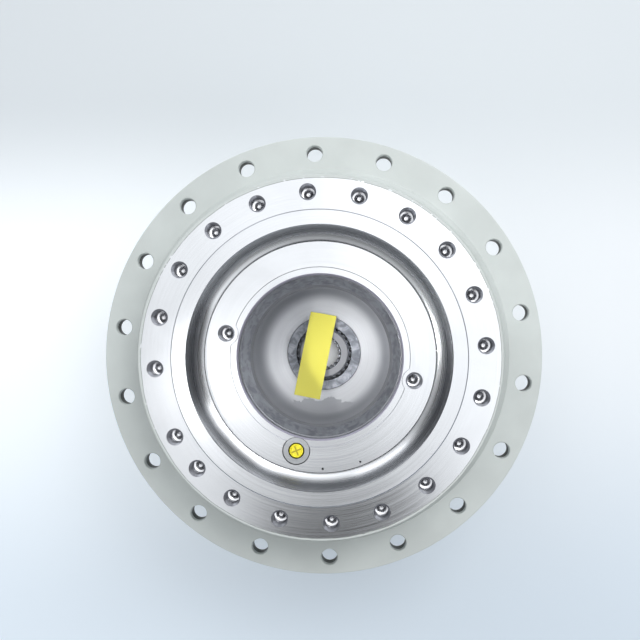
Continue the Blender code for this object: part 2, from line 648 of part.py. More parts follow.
def make_cover(hub_axis):
    """The dished cover that the drive stands on, with a low rim for the bolt heads."""
    outline = [
        (0, COVER_DISH_DEPTH),
        (COVER_DISH_RADIUS - COVER_DISH_DEPTH, COVER_DISH_DEPTH),
        (COVER_DISH_RADIUS, 0),
        (COVER_BOSS_RADIUS - COVER_BOSS_EDGE, 0),
        (COVER_BOSS_RADIUS, COVER_BOSS_EDGE),
        (COVER_BOSS_RADIUS, COVER_RIM_HEIGHT),
        (RING_GEAR_RADIUS, COVER_RIM_HEIGHT),
        (RING_GEAR_RADIUS, RING_GEAR_FOOT),
        (COVER_INSIDE_RADIUS, RING_GEAR_FOOT),
        (COVER_INSIDE_RADIUS, COVER_INSIDE_HEIGHT),
        (0, COVER_INSIDE_HEIGHT),
    ]
    cover = add_piece("cover", turned(outline, HUB_SIDES), "grey_paint", hub_axis)
    bolt_holes = holes(
        cover_bolt_centres(),
        COVER_BOLT_RADIUS + RUNNING_GAP,
        COVER_RIM_HEIGHT - CUT_OVERSHOOT,
        RING_GEAR_FOOT + CUT_OVERSHOOT,
        BOLT_SIDES,
    )
    plug_centres = [polar(PLUG_CIRCLE, angle) for angle in PLUG_ANGLES_DEG]
    seat_radius = PLUG_HEAD_RADIUS + RUNNING_GAP
    plug_seats = holes(plug_centres, seat_radius, -CUT_OVERSHOOT, PLUG_HEAD_HEIGHT, PIN_SIDES)
    combine(cover, together([bolt_holes, plug_seats]), "DIFFERENCE")
    through = COVER_INSIDE_HEIGHT + CUT_OVERSHOOT
    plug_holes = holes(plug_centres, PLUG_RADIUS + RUNNING_GAP, -CUT_OVERSHOOT, through, PIN_SIDES)
    return merge_flats(combine(cover, plug_holes, "DIFFERENCE"))


def make_cover_bolts(hub_axis):
    """Long hexagon bolts that hold the cover and the ring gear to the hub."""
    seat = COVER_RIM_HEIGHT - RUNNING_GAP
    foot = seat - COVER_BOLT_HEAD_HEIGHT
    outline = [
        (0, foot),
        (COVER_BOLT_HEAD_RADIUS - COVER_BOLT_CHAMFER, foot),
        (COVER_BOLT_HEAD_RADIUS, foot + COVER_BOLT_CHAMFER),
        (COVER_BOLT_HEAD_RADIUS, seat),
        (COVER_BOLT_RADIUS, seat),
        (COVER_BOLT_RADIUS, RING_GEAR_TOP + COVER_BOLT_GRIP_IN_HUB),
        (0, RING_GEAR_TOP + COVER_BOLT_GRIP_IN_HUB),
    ]
    for number, centre in enumerate(cover_bolt_centres(), start=1):
        bolt = turned(outline, BOLT_SIDES)
        add_piece("cover_bolt_%02d" % number, bolt, "zinc_steel", hub_axis, (*centre, 0))


def make_cover_plugs(hub_axis):
    """Fill and drain plugs, sunk just below the standing face."""
    for name, angle in zip(("fill_plug", "drain_plug"), PLUG_ANGLES_DEG):
        outline = [
            (0, PLUG_SET_BACK),
            (PLUG_HEAD_RADIUS, PLUG_SET_BACK),
            (PLUG_HEAD_RADIUS, PLUG_HEAD_HEIGHT - RUNNING_GAP),
            (PLUG_RADIUS, PLUG_HEAD_HEIGHT - RUNNING_GAP),
            (PLUG_RADIUS, COVER_INSIDE_HEIGHT),
            (0, COVER_INSIDE_HEIGHT),
        ]
        centre = polar(PLUG_CIRCLE, angle)
        add_piece(name, turned(outline, PIN_SIDES), "zinc_steel", hub_axis, (*centre, 0))


def make_thrust_button(hub_axis):
    """The hard button on the cover that carries the end of the first sun shaft."""
    outline = [
        (0, COVER_INSIDE_HEIGHT + RUNNING_GAP),
        (BUTTON_RADIUS, COVER_INSIDE_HEIGHT + RUNNING_GAP),
        (BUTTON_RADIUS, SUN_SHAFT_FOOT - BUTTON_CROWN),
        (BUTTON_RADIUS - BUTTON_CROWN, SUN_SHAFT_FOOT - RUNNING_GAP),
        (0, SUN_SHAFT_FOOT - RUNNING_GAP),
    ]
    return add_piece("thrust_button", turned(outline, PIN_SIDES), "bearing_steel", hub_axis)


def make_bearing(place, foot, large_end_up, hub_axis):
    """One tapered roller bearing: inner race, outer race and the caged row of rollers between them."""
    small = (BEARING_BORE_RADIUS + BEARING_OUTSIDE_RADIUS) / 2 / math.sqrt(ROLLER_LARGE_END_SHARE)
    large = small * ROLLER_LARGE_END_SHARE
    low, high = (small, large) if large_end_up else (large, small)
    foot_height = foot + RUNNING_GAP
    top_height = foot + BEARING_WIDTH - RUNNING_GAP
    reach = ROLLER_RADIUS + ROLLER_TRACK_GAP
    inner = [
        (BEARING_BORE_RADIUS + RUNNING_GAP, foot_height),
        (BEARING_BORE_RADIUS + RUNNING_GAP, top_height),
        (high - reach * high / small, top_height),
        (low - reach * low / small, foot_height),
    ]
    outer = [
        (BEARING_OUTSIDE_RADIUS - RUNNING_GAP, foot_height),
        (BEARING_OUTSIDE_RADIUS - RUNNING_GAP, top_height),
        (high + reach * high / small, top_height),
        (low + reach * low / small, foot_height),
    ]
    add_piece(place + "_bearing_inner_race", turned(inner, SPINDLE_SIDES), "bearing_steel")
    add_piece(place + "_bearing_outer_race", turned(outer, HUB_SIDES), "bearing_steel", hub_axis)
    size = low / small
    loops = [
        toothed_circle(ROLLER_COUNT, low + CAGE_HALF_THICKNESS, low + ROLLER_RADIUS * size, ROLLER_SHARE),
        toothed_circle(ROLLER_COUNT, low - CAGE_HALF_THICKNESS, low - ROLLER_RADIUS * size, ROLLER_SHARE),
    ]
    axis = axis_empty(place + "_roller_axis")
    rollers = plate(loops, foot_height + ROLLER_END_GAP, top_height - ROLLER_END_GAP, high / low)
    add_piece(place + "_bearing_rollers", rollers, "bearing_steel", axis)


def make_bearing_nut():
    """The slotted nut that sets the bearing preload from below."""
    loops = [
        toothed_circle(NUT_SLOT_COUNT, NUT_RADIUS - NUT_SLOT_DEPTH, NUT_RADIUS, NUT_LAND_SHARE),
        circle(BEARING_BORE_RADIUS - NUT_THREAD_DEPTH + RUNNING_GAP, SPINDLE_SIDES),
    ]
    nut = plate(loops, NUT_FOOT, LOWER_BEARING_FOOT - RUNNING_GAP)
    return add_piece("bearing_nut", nut, "dark_steel")


def make_face_seal(hub_axis):
    """Two lapped rings that run on each other, each carried by a rubber ring in its own housing."""
    inside = SEAL_RING_RADIUS - SEAL_RING_WIDTH
    turning_foot = UPPER_BEARING_TOP + SEAL_SEAT_STEP + SEAL_FLOAT
    still_top = SEAL_GROOVE_HEIGHT - SEAL_FLOAT
    turning_ring = [
        (inside, turning_foot),
        (inside, SEAL_FACE_HEIGHT - RUNNING_GAP / 2),
        (SEAL_RING_RADIUS, SEAL_FACE_HEIGHT - RUNNING_GAP / 2),
        (SEAL_RING_RADIUS, turning_foot),
    ]
    still_ring = [
        (inside, SEAL_FACE_HEIGHT + RUNNING_GAP / 2),
        (inside, still_top),
        (SEAL_RING_RADIUS, still_top),
        (SEAL_RING_RADIUS, SEAL_FACE_HEIGHT + RUNNING_GAP / 2),
    ]
    add_piece("turning_seal_ring", turned(turning_ring, SEAL_SIDES), "bearing_steel", hub_axis)
    add_piece("still_seal_ring", turned(still_ring, SEAL_SIDES), "bearing_steel")
    add_piece("turning_seal_toric", turned(toric_outline(turning_foot), SEAL_SIDES), "rubber", hub_axis)
    add_piece("still_seal_toric", turned(toric_outline(still_top - TORIC_HEIGHT), SEAL_SIDES), "rubber")


def toric_outline(foot):
    """Section of a rubber ring, pressed between the seal ring and its housing."""
    inner = SEAL_RING_RADIUS + RUNNING_GAP
    outer = SEAL_HOUSING_RADIUS * math.cos(math.pi / SEAL_SIDES) - RUNNING_GAP
    middle = foot + TORIC_HEIGHT / 2
    return [
        (inner, middle),
        ((inner + outer) / 2, foot + TORIC_HEIGHT),
        (outer, middle),
        ((inner + outer) / 2, foot),
    ]


def planet_centres(centres):
    return [(centres * math.cos(angle), centres * math.sin(angle)) for angle in planet_angles()]


def make_second_carrier():
    """The still carrier, splined on the spindle, with three pockets between its plates."""
    foot = SECOND_PLANET_FOOT - THRUST_GAP - SECOND_LOWER_PLATE
    pocket_top = SECOND_PLANET_TOP + THRUST_GAP
    top = pocket_top + SECOND_UPPER_PLATE
    outline = [
        (SECOND_CARRIER_BORE, foot),
        (CARRIER_RADIUS, foot),
        (CARRIER_RADIUS, top),
        (SECOND_CARRIER_BORE, top),
    ]
    carrier = add_piece("second_carrier", turned(outline, CARRIER_SIDES), "machined_steel")
    centres = planet_centres(SECOND_CENTRES)
    pocket = tip_radius(SECOND_PLANET_TEETH) + POCKET_CLEARANCE
    half_side = math.pi / POCKET_SIDES
    pockets = holes(centres, pocket, SECOND_PLANET_FOOT - THRUST_GAP, pocket_top, POCKET_SIDES, half_side)
    combine(carrier, pockets, "DIFFERENCE")
    sun_reach = tip_radius(SECOND_SUN_TEETH) + POCKET_CLEARANCE
    sun_space = holes([(0, 0)], sun_reach, foot - CUT_OVERSHOOT, pocket_top + SUN_RELIEF, CARRIER_SIDES)
    combine(carrier, sun_space, "DIFFERENCE")
    pin_bore = SECOND_PIN_RADIUS + RUNNING_GAP
    pin_bores = holes(centres, pin_bore, foot - CUT_OVERSHOOT, SECOND_PIN_TOP + RUNNING_GAP, PIN_SIDES)
    combine(carrier, pin_bores, "DIFFERENCE")
    spline = toothed_circle(
        SPINDLE_SPLINE_TEETH,
        SPINDLE_SPLINE_RADIUS - SPINDLE_SPLINE_DEPTH + RUNNING_GAP,
        SPINDLE_SPLINE_RADIUS,
        SPLINE_SPACE_SHARE,
    )
    combine(carrier, plate([spline], SPINDLE_FOOT - RUNNING_GAP, top + CUT_OVERSHOOT), "DIFFERENCE")
    return merge_flats(carrier)


def make_stage(ordinal, teeth, centres, foot, width, pin_radius, bush_wall, pin_span, parent):
    """The planets of one stage, each on a plain bush and a pin that its carrier holds."""
    half_side = math.pi / PIN_SIDES
    bore = (pin_radius + bush_wall + RUNNING_GAP) / math.cos(half_side)
    for k, (angle, centre) in enumerate(zip(planet_angles(), planet_centres(centres)), start=1):
        label = "%s_planet_%d" % (ordinal, k)
        axis = axis_empty(label + "_axis", (*centre, 0), parent)
        outlines = [gear_outline(teeth, planet_phase(teeth, angle)), circle(bore, PIN_SIDES, turn=half_side)]
        add_piece(label, plate(outlines, foot, foot + width), "machined_steel", axis)
        pin_loop = [circle(pin_radius, PIN_SIDES)]
        add_piece(label + "_pin", plate(pin_loop, *pin_span), "bearing_steel", parent, (*centre, 0))
        bush_loops = [circle(pin_radius + bush_wall, PIN_SIDES), circle(pin_radius + RUNNING_GAP, PIN_SIDES)]
        bush = plate(bush_loops, foot + BUSH_END_GAP, foot + width - BUSH_END_GAP)
        add_piece(label + "_bush", bush, "bronze", parent, (*centre, 0))


def make_first_carrier(carrier_axis):
    """The turning carrier of the first stage, whose upper plate holds the second sun by its teeth."""
    foot = FIRST_PLANET_FOOT - THRUST_GAP - FIRST_LOWER_PLATE
    pocket_top = FIRST_PLANET_TOP + THRUST_GAP
    top = pocket_top + FIRST_UPPER_PLATE
    sun_reach = tip_radius(FIRST_SUN_TEETH) + POCKET_CLEARANCE
    outline = [
        (sun_reach, foot),
        (CARRIER_RADIUS, foot),
        (CARRIER_RADIUS, top),
        (FIRST_UPPER_BORE, top),
        (FIRST_UPPER_BORE, pocket_top + SUN_RELIEF),
        (sun_reach, pocket_top + SUN_RELIEF),
    ]
    carrier = add_piece("first_carrier", turned(outline, CARRIER_SIDES), "machined_steel", carrier_axis)
    centres = planet_centres(FIRST_CENTRES)
    pocket = tip_radius(FIRST_PLANET_TEETH) + POCKET_CLEARANCE
    half_side = math.pi / POCKET_SIDES
    pockets = holes(centres, pocket, FIRST_PLANET_FOOT - THRUST_GAP, pocket_top, POCKET_SIDES, half_side)
    combine(carrier, pockets, "DIFFERENCE")
    above = top + CUT_OVERSHOOT
    pin_bores = holes(centres, FIRST_PIN_RADIUS + RUNNING_GAP, foot - CUT_OVERSHOOT, above, PIN_SIDES)
    combine(carrier, pin_bores, "DIFFERENCE")
    phase = sun_phase(SECOND_SUN_TEETH, SECOND_PLANET_TEETH)
    socket_outline = gear_outline(SECOND_SUN_TEETH, phase, grown=RUNNING_GAP)
    socket = plate([socket_outline], pocket_top - CUT_OVERSHOOT, above)
    return merge_flats(combine(carrier, socket, "DIFFERENCE"))


def make_second_sun(carrier_axis):
    """The sun of the second stage, a plain toothed sleeve that the first carrier turns."""
    foot = FIRST_PLANET_TOP + THRUST_GAP + RUNNING_GAP
    phase = sun_phase(SECOND_SUN_TEETH, SECOND_PLANET_TEETH)
    outlines = [gear_outline(SECOND_SUN_TEETH, phase), circle(SECOND_SUN_BORE, PIN_SIDES)]
    return add_piece("second_sun", plate(outlines, foot, SECOND_PLANET_TOP), "machined_steel", carrier_axis)


def make_first_sun(input_axis):
    """The first sun on its long shaft, whose upper end is splined for the coupling sleeve."""
    shaft = plate([circle(SUN_SHAFT_RADIUS, PIN_SIDES)], SUN_SHAFT_FOOT, SUN_SHAFT_TOP)
    sun = add_piece("first_sun_shaft", shaft, "machined_steel", input_axis)
    teeth_outline = gear_outline(FIRST_SUN_TEETH, sun_phase(FIRST_SUN_TEETH, FIRST_PLANET_TEETH))
    teeth = plate([teeth_outline], SUN_SHAFT_FOOT + SUN_FACE_STEP, FIRST_PLANET_TOP - SUN_FACE_STEP)
    combine(sun, teeth, "UNION")
    tip = INPUT_SPLINE_RADIUS - RUNNING_GAP
    spline_outline = toothed_circle(INPUT_SPLINE_TEETH, tip - INPUT_SPLINE_DEPTH, tip, SPLINE_TOOTH_SHARE)
    spline = plate([spline_outline], INPUT_SPLINE_FOOT, SUN_SHAFT_TOP - SUN_FACE_STEP)
    return merge_flats(combine(sun, spline, "UNION"))


def make_coupling_sleeve(input_axis):
    """The sleeve in the bowl that takes the motor's splined shaft from above and the sun shaft from below."""
    loops = [
        toothed_circle(SLEEVE_TEETH, SLEEVE_TOOTH_RADIUS - SLEEVE_TOOTH_DEPTH, SLEEVE_TOOTH_RADIUS),
        toothed_circle(INPUT_SPLINE_TEETH, INPUT_SPLINE_RADIUS - INPUT_SPLINE_DEPTH, INPUT_SPLINE_RADIUS),
    ]
    shape = plate(loops, INPUT_SPLINE_FOOT, SLEEVE_TOP)
    sleeve = add_piece("coupling_sleeve", shape, "dark_steel", input_axis)
    around = circle(SLEEVE_TOOTH_RADIUS + CUT_OVERSHOOT, SLEEVE_SIDES)
    collar = circle(SLEEVE_RADIUS, SLEEVE_SIDES)
    removed = plate([around, collar], SLEEVE_TOP - SLEEVE_COLLAR_HEIGHT, SLEEVE_TOP + CUT_OVERSHOOT)
    return merge_flats(combine(sleeve, removed, "DIFFERENCE"))


def make_guide_plate():
    """The dark disc that closes the floor of the bowl round the coupling sleeve."""
    outline = [
        (SLEEVE_TOOTH_RADIUS + GUIDE_BORE_GAP, GUIDE_SEAT),
        (BOWL_FLOOR_RADIUS - RUNNING_GAP * 2, GUIDE_SEAT),
        (BOWL_FLOOR_RADIUS - RUNNING_GAP * 2, BOWL_FLOOR_HEIGHT),
        (SLEEVE_TOOTH_RADIUS + GUIDE_BORE_GAP, BOWL_FLOOR_HEIGHT),
    ]
    return add_piece("guide_plate", turned(outline, SPINDLE_SIDES), "dark_steel")


def make_still_side():
    make_spindle()
    make_port_plug()
    make_guide_plate()
    make_bearing_nut()
    make_second_carrier()
    make_stage(
        "second",
        SECOND_PLANET_TEETH,
        SECOND_CENTRES,
        SECOND_PLANET_FOOT,
        SECOND_PLANET_WIDTH,
        SECOND_PIN_RADIUS,
        SECOND_BUSH_WALL,
        (SECOND_PLANET_FOOT - THRUST_GAP - SECOND_LOWER_PLATE, SECOND_PIN_TOP),
        axis_empty("second_carrier_axis"),
    )


def make_turning_side():
    hub_axis = axis_empty("hub_axis")
    make_hub(hub_axis)
    make_ring_gear(hub_axis)
    make_cover(hub_axis)
    make_cover_bolts(hub_axis)
    make_cover_plugs(hub_axis)
    make_thrust_button(hub_axis)
    make_face_seal(hub_axis)
    make_bearing("upper", UPPER_BEARING_TOP - BEARING_WIDTH, True, hub_axis)
    make_bearing("lower", LOWER_BEARING_FOOT, False, hub_axis)


def make_input_side():
    carrier_axis = axis_empty("first_carrier_axis")
    make_first_carrier(carrier_axis)
    make_second_sun(carrier_axis)
    make_stage(
        "first",
        FIRST_PLANET_TEETH,
        FIRST_CENTRES,
        FIRST_PLANET_FOOT,
        FIRST_PLANET_WIDTH,
        FIRST_PIN_RADIUS,
        FIRST_BUSH_WALL,
        (
            FIRST_PLANET_FOOT - THRUST_GAP - FIRST_LOWER_PLATE,
            FIRST_PLANET_TOP + THRUST_GAP + FIRST_UPPER_PLATE,
        ),
        carrier_axis,
    )
    input_axis = axis_empty("input_axis")
    make_first_sun(input_axis)
    make_coupling_sleeve(input_axis)


def main():
    clear_scene()
    make_still_side()
    make_turning_side()
    make_input_side()


main()
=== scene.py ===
import math
from collections import namedtuple

import bmesh
import bpy
from mathutils import Matrix, Vector


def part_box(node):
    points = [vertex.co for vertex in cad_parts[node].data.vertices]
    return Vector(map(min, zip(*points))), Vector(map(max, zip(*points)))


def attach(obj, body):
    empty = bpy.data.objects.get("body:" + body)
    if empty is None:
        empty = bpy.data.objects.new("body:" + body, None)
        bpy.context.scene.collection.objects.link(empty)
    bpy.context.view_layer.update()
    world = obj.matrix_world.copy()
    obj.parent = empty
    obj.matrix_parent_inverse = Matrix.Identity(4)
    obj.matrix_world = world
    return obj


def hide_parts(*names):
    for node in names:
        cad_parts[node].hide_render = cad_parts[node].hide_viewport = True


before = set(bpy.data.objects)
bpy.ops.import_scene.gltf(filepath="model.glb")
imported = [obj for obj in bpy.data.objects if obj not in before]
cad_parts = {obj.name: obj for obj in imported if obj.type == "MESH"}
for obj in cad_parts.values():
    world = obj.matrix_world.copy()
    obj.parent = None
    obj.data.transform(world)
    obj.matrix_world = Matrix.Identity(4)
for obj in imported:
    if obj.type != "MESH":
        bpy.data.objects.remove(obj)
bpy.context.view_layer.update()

# Boxes of the nodes that get a finer shape here
SPINDLE_LOW, SPINDLE_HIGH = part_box("spindle")
HUB_LOW, HUB_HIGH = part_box("hub")
GEAR_LOW, GEAR_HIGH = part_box("ring_gear")
COVER_LOW, COVER_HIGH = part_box("cover")
SLEEVE_LOW, SLEEVE_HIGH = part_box("coupling_sleeve")
GUIDE_LOW, GUIDE_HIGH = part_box("guide_plate")
BOLT_LOW, BOLT_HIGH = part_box("cover_bolt_01")
PLUG_LOW, PLUG_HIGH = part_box("fill_plug")

RUNNING_GAP = 0.0003
ON_AXIS = 1e-6
SMALL_EDGE = 0.0006

# Spindle, heights above the standing face
RIM_TOP = SPINDLE_HIGH.z
FRAME_FACE = RIM_TOP - 0.023
FRAME_FOOT = FRAME_FACE - 0.034
SEAL_GROOVE_TOP = FRAME_FOOT + 0.0095
MOTOR_FACE = FRAME_FACE - 0.0135
LAND_FACE = MOTOR_FACE - 0.0006
SPOT_FACE = MOTOR_FACE - 0.0015
BORE_MOUTH_FOOT = MOTOR_FACE - 0.0030
COVE_FOOT = MOTOR_FACE - 0.0045
SHELF_TOP = MOTOR_FACE - 0.0172
SHELF_FOOT = MOTOR_FACE - 0.0176
LEDGE_TOP = MOTOR_FACE - 0.0415
LEDGE_FOOT = MOTOR_FACE - 0.0465
BEARING_SEAT_TOP = 0.3565
BOWL_FOOT = 0.245
BOWL_DEPTH = 0.085
GUIDE_SEAT = GUIDE_LOW.z - RUNNING_GAP
NUT_THREAD_TOP = 0.236
NUT_THREAD_FOOT = 0.221

# Spindle, radii
FRAME_RADIUS = SPINDLE_HIGH.x
PAINT_EDGE = 0.2308
PILOT_RADIUS = 0.1871
RIM_BORE = 0.1668
MOTOR_FACE_RADIUS = 0.150
LAND_RADIUS = 0.1161
LAND_EDGE = 0.0008
BORE_MOUTH_RADIUS = 0.1084
BORE_RADIUS = 0.1062
SHELF_RADIUS = 0.1052
LEDGE_RADIUS = 0.0958
TUNNEL_RADIUS = 0.092
BOWL_FLOOR_RADIUS = 0.054
SHAFT_HOLE_RADIUS = 0.046
SEAL_GROOVE_RADIUS = 0.199
SEAL_NECK_RADIUS = 0.172
BEARING_SEAT_RADIUS = 0.140
NUT_THREAD_RADIUS = 0.1365
SPLINE_RADIUS = 0.1217
SPLINE_ROOT = 0.118
SPLINE_TEETH = 16

# Spindle, edges
PILOT_CHAMFER = 0.0014
PILOT_UNDERCUT_DEPTH = 0.0005
PILOT_UNDERCUT_HEIGHT = 0.0008
RIM_CHAMFER_WIDTH = 0.0012
RIM_CHAMFER_HEIGHT = 0.0015
FRAME_FACE_EDGE = 0.0009
FRAME_FOOT_EDGE = 0.0012

# Cove and bowl: the cove's slope in degrees grows from its foot by the rise
COVE_STEPS = 16
COVE_SLOPE = 18.0
COVE_RISE = 68.0
COVE_BEND = 1.5
BOWL_STEPS = 16

# Hub
FLANGE_FACE = 0.330
FLANGE_SEAT = FLANGE_FACE - 0.028
FLANGE_RADIUS = HUB_HIGH.x
FLANGE_EDGE = 0.0014
BARREL_RADIUS = GEAR_HIGH.x
BARREL_EDGE = 0.001
COLLAR_TOP_RADIUS = 0.238
COLLAR_FOOT_RADIUS = 0.2465
COLLAR_FOOT = FLANGE_FACE + 0.011
COLLAR_EDGE = 0.002
COLLAR_FILLET = 0.006
FILLET_RADIUS = 0.2560
FILLET_RUN = 0.0008
FILLET_RISE = 0.0004
SPIGOT_RADIUS = 0.2315
SPIGOT_FOOT = FLANGE_SEAT - 0.022
SPIGOT_FILLET = 0.0015
RACE_SEAT_RADIUS = 0.190
SHOULDER_RADIUS = 0.181
SHOULDER_FOOT = 0.274
SHOULDER_TOP = 0.3185
SEAL_SEAT = 0.3575

# Hole patterns, angles in degrees
FRAME_HOLE_COUNT = 20
FRAME_HOLE_CIRCLE = 0.2122
FRAME_HOLE_PHASE = 94.1
FRAME_HOLE_SHIFTS = {13: 2.2, 14: 6.8}
FRAME_THREAD_DEPTH = 0.020
FRAME_DRILL_DEPTH = 0.0290
FLANGE_HOLE_COUNT = 18
FLANGE_HOLE_CIRCLE = 0.277
FLANGE_HOLE_PHASE = 92.1
FLANGE_HOLE_RADIUS = 0.011
FLANGE_HOLE_CHAMFER = 0.0010
# Below this depth the walls of the flange's through holes are nearly black: painted shade
FLANGE_HOLE_PAINT = 0.010
MOTOR_TAP_CIRCLE = 0.1253
MOTOR_TAP_ANGLES = (-194.0, -14.0)
MOTOR_TAP_BOSS = 0.0160
MOTOR_THREAD_DEPTH = 0.021
MOTOR_DRILL_DEPTH = 0.0300
COVER_BOLT_COUNT = 12
COVER_BOLT_CIRCLE = 0.2125
COVER_BOLT_PHASE = 15.0
COVER_BOLT_HOLE = 0.0083
COVER_BOLT_HOLE_DEPTH = 0.036
COVER_PLUG_CIRCLE = 0.130
COVER_PLUG_ANGLES = {"fill_plug": 0, "drain_plug": 90}
PUNCH_MARKS = ((0.0037, -0.1445), (0.0522, -0.1350))
PUNCH_RADIUS = 0.0015
PUNCH_DEPTH = 0.0018

# Tapped holes: the thread's groove is deepest between two shares of its pitch
TAP_RADIUS = 0.0102
TAP_DRILL = 0.0088
TAP_MOUTH = 0.0110
THREAD_PITCH = 0.0025
THREAD_FLAT = (0.45, 0.60)
THREAD_RUN_OUT = 0.0008

# The drill's point, as radius and height above its tip
DRILL_POINT = (
    (TAP_DRILL, 0.0026), (TAP_DRILL - 0.0016, 0.0023), (TAP_DRILL - 0.0030, 0.0019),
    (0.0034, 0.0004), (0.0022, 0.0002), (0, 0)
)

# Oil port and its plug
PORT_ANGLE = -104.1
PORT_SPOT_RADIUS = 0.0170
PORT_SPOT_SLANT = 0.0012
PORT_RADIUS = 0.0102
PORT_EDGE_WIDTH = 0.0004
PORT_DEPTH = 0.024
CUT_OVERSHOOT = 0.003
CUT_MARGIN = 0.0001
PORT_PLUG_TOP = SPOT_FACE + 0.0006
CROSS_ANGLE = 22
CROSS_HALF_WIDTH = 0.0008
CROSS_ARM = 0.0060
CROSS_FOOT = PORT_PLUG_TOP - 0.0018
CROSS_TOP = PORT_PLUG_TOP - 0.0006

# The port plug's outline, as radius and depth under its brim
PORT_PLUG_OUTLINE = (
    (0, 0.0016), (0.0066, 0.0016), (0.0074, 0.0002), (0.0080, 0),
    (0.0088, 0.0006), (0.0090, 0.0135), (0.0085, 0.0143), (0, 0.0143)
)

# Cover
COVER_FOOT = COVER_LOW.z
COVER_RIM = 0.0135
COVER_BOSS_RADIUS = 0.190
COVER_BOSS_FOOT_RADIUS = 0.1865
COVER_BOSS_SLANT = 0.0045
COVER_DISH_RADIUS = 0.066
COVER_DISH_FLOOR = 0.060
COVER_DISH_DEPTH = 0.006
COVER_HOLLOW_RADIUS = 0.192
COVER_HOLLOW_FLOOR = 0.021
COVER_HOLE_CHAMFER = 0.0008
COVER_FOOT_EDGE = 0.0020
COVER_DISH_EDGE = 0.0012
COVER_FILLET = 0.0015

# Cover bolts, with the head's corner radius
BOLT_RADIUS = 0.0080
BOLT_HEAD_RADIUS = 0.01386
BOLT_HEAD_HEIGHT = 0.010
BOLT_CHAMFER_RADIUS = 0.0122
BOLT_CROWN_RADIUS = 0.0114
BOLT_CROWN_RISE = 0.0007
BOLT_CHAMFER_RISE = 0.0022
BOLT_WASHER_RADIUS = 0.0117
BOLT_WASHER_RISE = 0.0008
BOLT_WASHER_STEP = 0.0004
BOLT_WASHER_SLANT = 0.0002
BOLT_NECK_RADIUS = 0.0084
BOLT_END_CHAMFER = 0.001

# Cover plugs, with a hexagon socket
PLUG_RADIUS = 0.0130
PLUG_HEAD_RADIUS = 0.0180
PLUG_HEAD_TOP = 0.0077
PLUG_HEAD_EDGE = 0.0012
PLUG_SEAT = 0.008
PLUG_SEAT_EDGE = 0.0007
PLUG_SOCKET_RADIUS = 0.0073
PLUG_SOCKET_MOUTH = 0.0082
PLUG_SOCKET_DEPTH = 0.0050
PLUG_SOCKET_EDGE = 0.0008

# Guide disc, coupling sleeve and the yellow tag
GUIDE_BORE = 0.0405
GUIDE_RADIUS = 0.0534
GUIDE_INNER_EDGE = 0.0005
SLEEVE_TEETH = 27
SLEEVE_TOOTH_SHARE = 0.45
SLEEVE_TOOTH_RADIUS = 0.0395
SLEEVE_ROOT_RADIUS = 0.0370
SLEEVE_COLLAR_RADIUS = 0.0346
SLEEVE_COLLAR_FOOT = SLEEVE_HIGH.z - 0.0060
SLEEVE_STEP = 0.0005
SLEEVE_COLLAR_FLARE = 0.0004
SLEEVE_EDGE = 0.0008
SLEEVE_FACE_BORE = 0.0250
SLEEVE_MOUTH_DEPTH = 0.0010
SLEEVE_SPLINE_DEPTH = 0.0014
INPUT_TEETH = 20
INPUT_SPLINE_RADIUS = 0.0235
INPUT_SPLINE_TIP = 0.0211
TAG_TOP = (Vector((-0.0188, 0.0607, 0.2572)), Vector((0.0185, 0.0542, 0.2514)))
TAG_FOOT = (Vector((-0.0424, -0.0591, 0.2703)), Vector((-0.0056, -0.0669, 0.2632)))
TAG_THICKNESS = 0.0004
TAG_BOW = 0.0004
TAG_TWIST = 0.0003
TAG_ROWS = 48
TAG_COLUMNS = 16

# Ring gear teeth
GEAR_MODULE = 0.009
RING_TEETH = 42
PRESSURE_ANGLE = math.radians(25)
ADDENDUM_SHARE = 0.8
TOOTH_THINNING = 0.00035

# Steps of a full turn
SEGMENTS = 288
SMALL_SEGMENTS = 72
SLEEVE_SEGMENTS = 540
HOLE_SEGMENTS = 40
BOLT_HOLE_SEGMENTS = 24
PUNCH_SEGMENTS = 16

# Angles in degrees from which an edge is shown sharp, on large pieces and on small ones
SHARP_ANGLE = 30
SHARP_SMALL = 20

# Camera, fitted to the photograph's circles
CAMERA_LENS = 49.06
CAMERA_SENSOR = 36
CAMERA_PLACE = (0.0453, 0.0421, FLANGE_FACE + 1.1976)
CAMERA_BACKWARD = (0.0400, -0.0050, 0.9992)
CAMERA_SIDE = (0, 1, 0.005)

# Sky: brightness overall, at the zenith, and its growth towards +X and +Y
SKY_STRENGTH = 1.19
SKY_COLOUR = (0.95, 0.975, 1.0)
SKY_LEVEL = 1.18
SKY_LEAN = (0.75, 0.45)

# The dark patch that the flat faces show at the photograph's foot: centre and half sizes in the sky's X and Y
DARK_PATCH_CENTRE = (-0.01, -0.31)
DARK_PATCH_SIZE = (0.11, 0.19)

# Azimuth, half width and brightness of the dark panels that the cove shows as dark stretches
DARK_PANELS = ((-2.0, 22.0, 0.05), (163.0, 14.0, 0.30), (-174.0, 8.0, 0.4))
PANEL_EDGE = 6.0

# Azimuth and half width in degrees of the low strip lights that the polished cove shows as bright streaks
STRIP_LIGHTS = ((29.0, 5.0), (65.0, 4.0), (124.0, 13.0))
STRIP_EDGE = 4.0
STRIP_STRENGTH = 1.6

# Narrow lamps that reach through the bore into the bowl: place and power
BOWL_LAMPS = {"bowl_right": ((-0.73, -0.18, 1.60), 240), "bowl_left": ((0.62, 0.55, 1.60), 4)}
BOWL_LAMP_TARGET = (0.0, 0.0, 0.38)
BOWL_LAMP_ANGLE = math.radians(7)
BOWL_LAMP_RADIUS = 0.12

KEY_PLACE = (0.8, 1.0, 2.3)
KEY_TARGET = (0, 0, 0.3)
KEY_SIZE = 1.1
KEY_POWER = 15
KEY_COLOUR = (1.0, 0.99, 0.97)

FLOOR_HALF = 8.0
FLOOR_GLOW = (0.92, 0.97, 1.0)


# Turned meshes

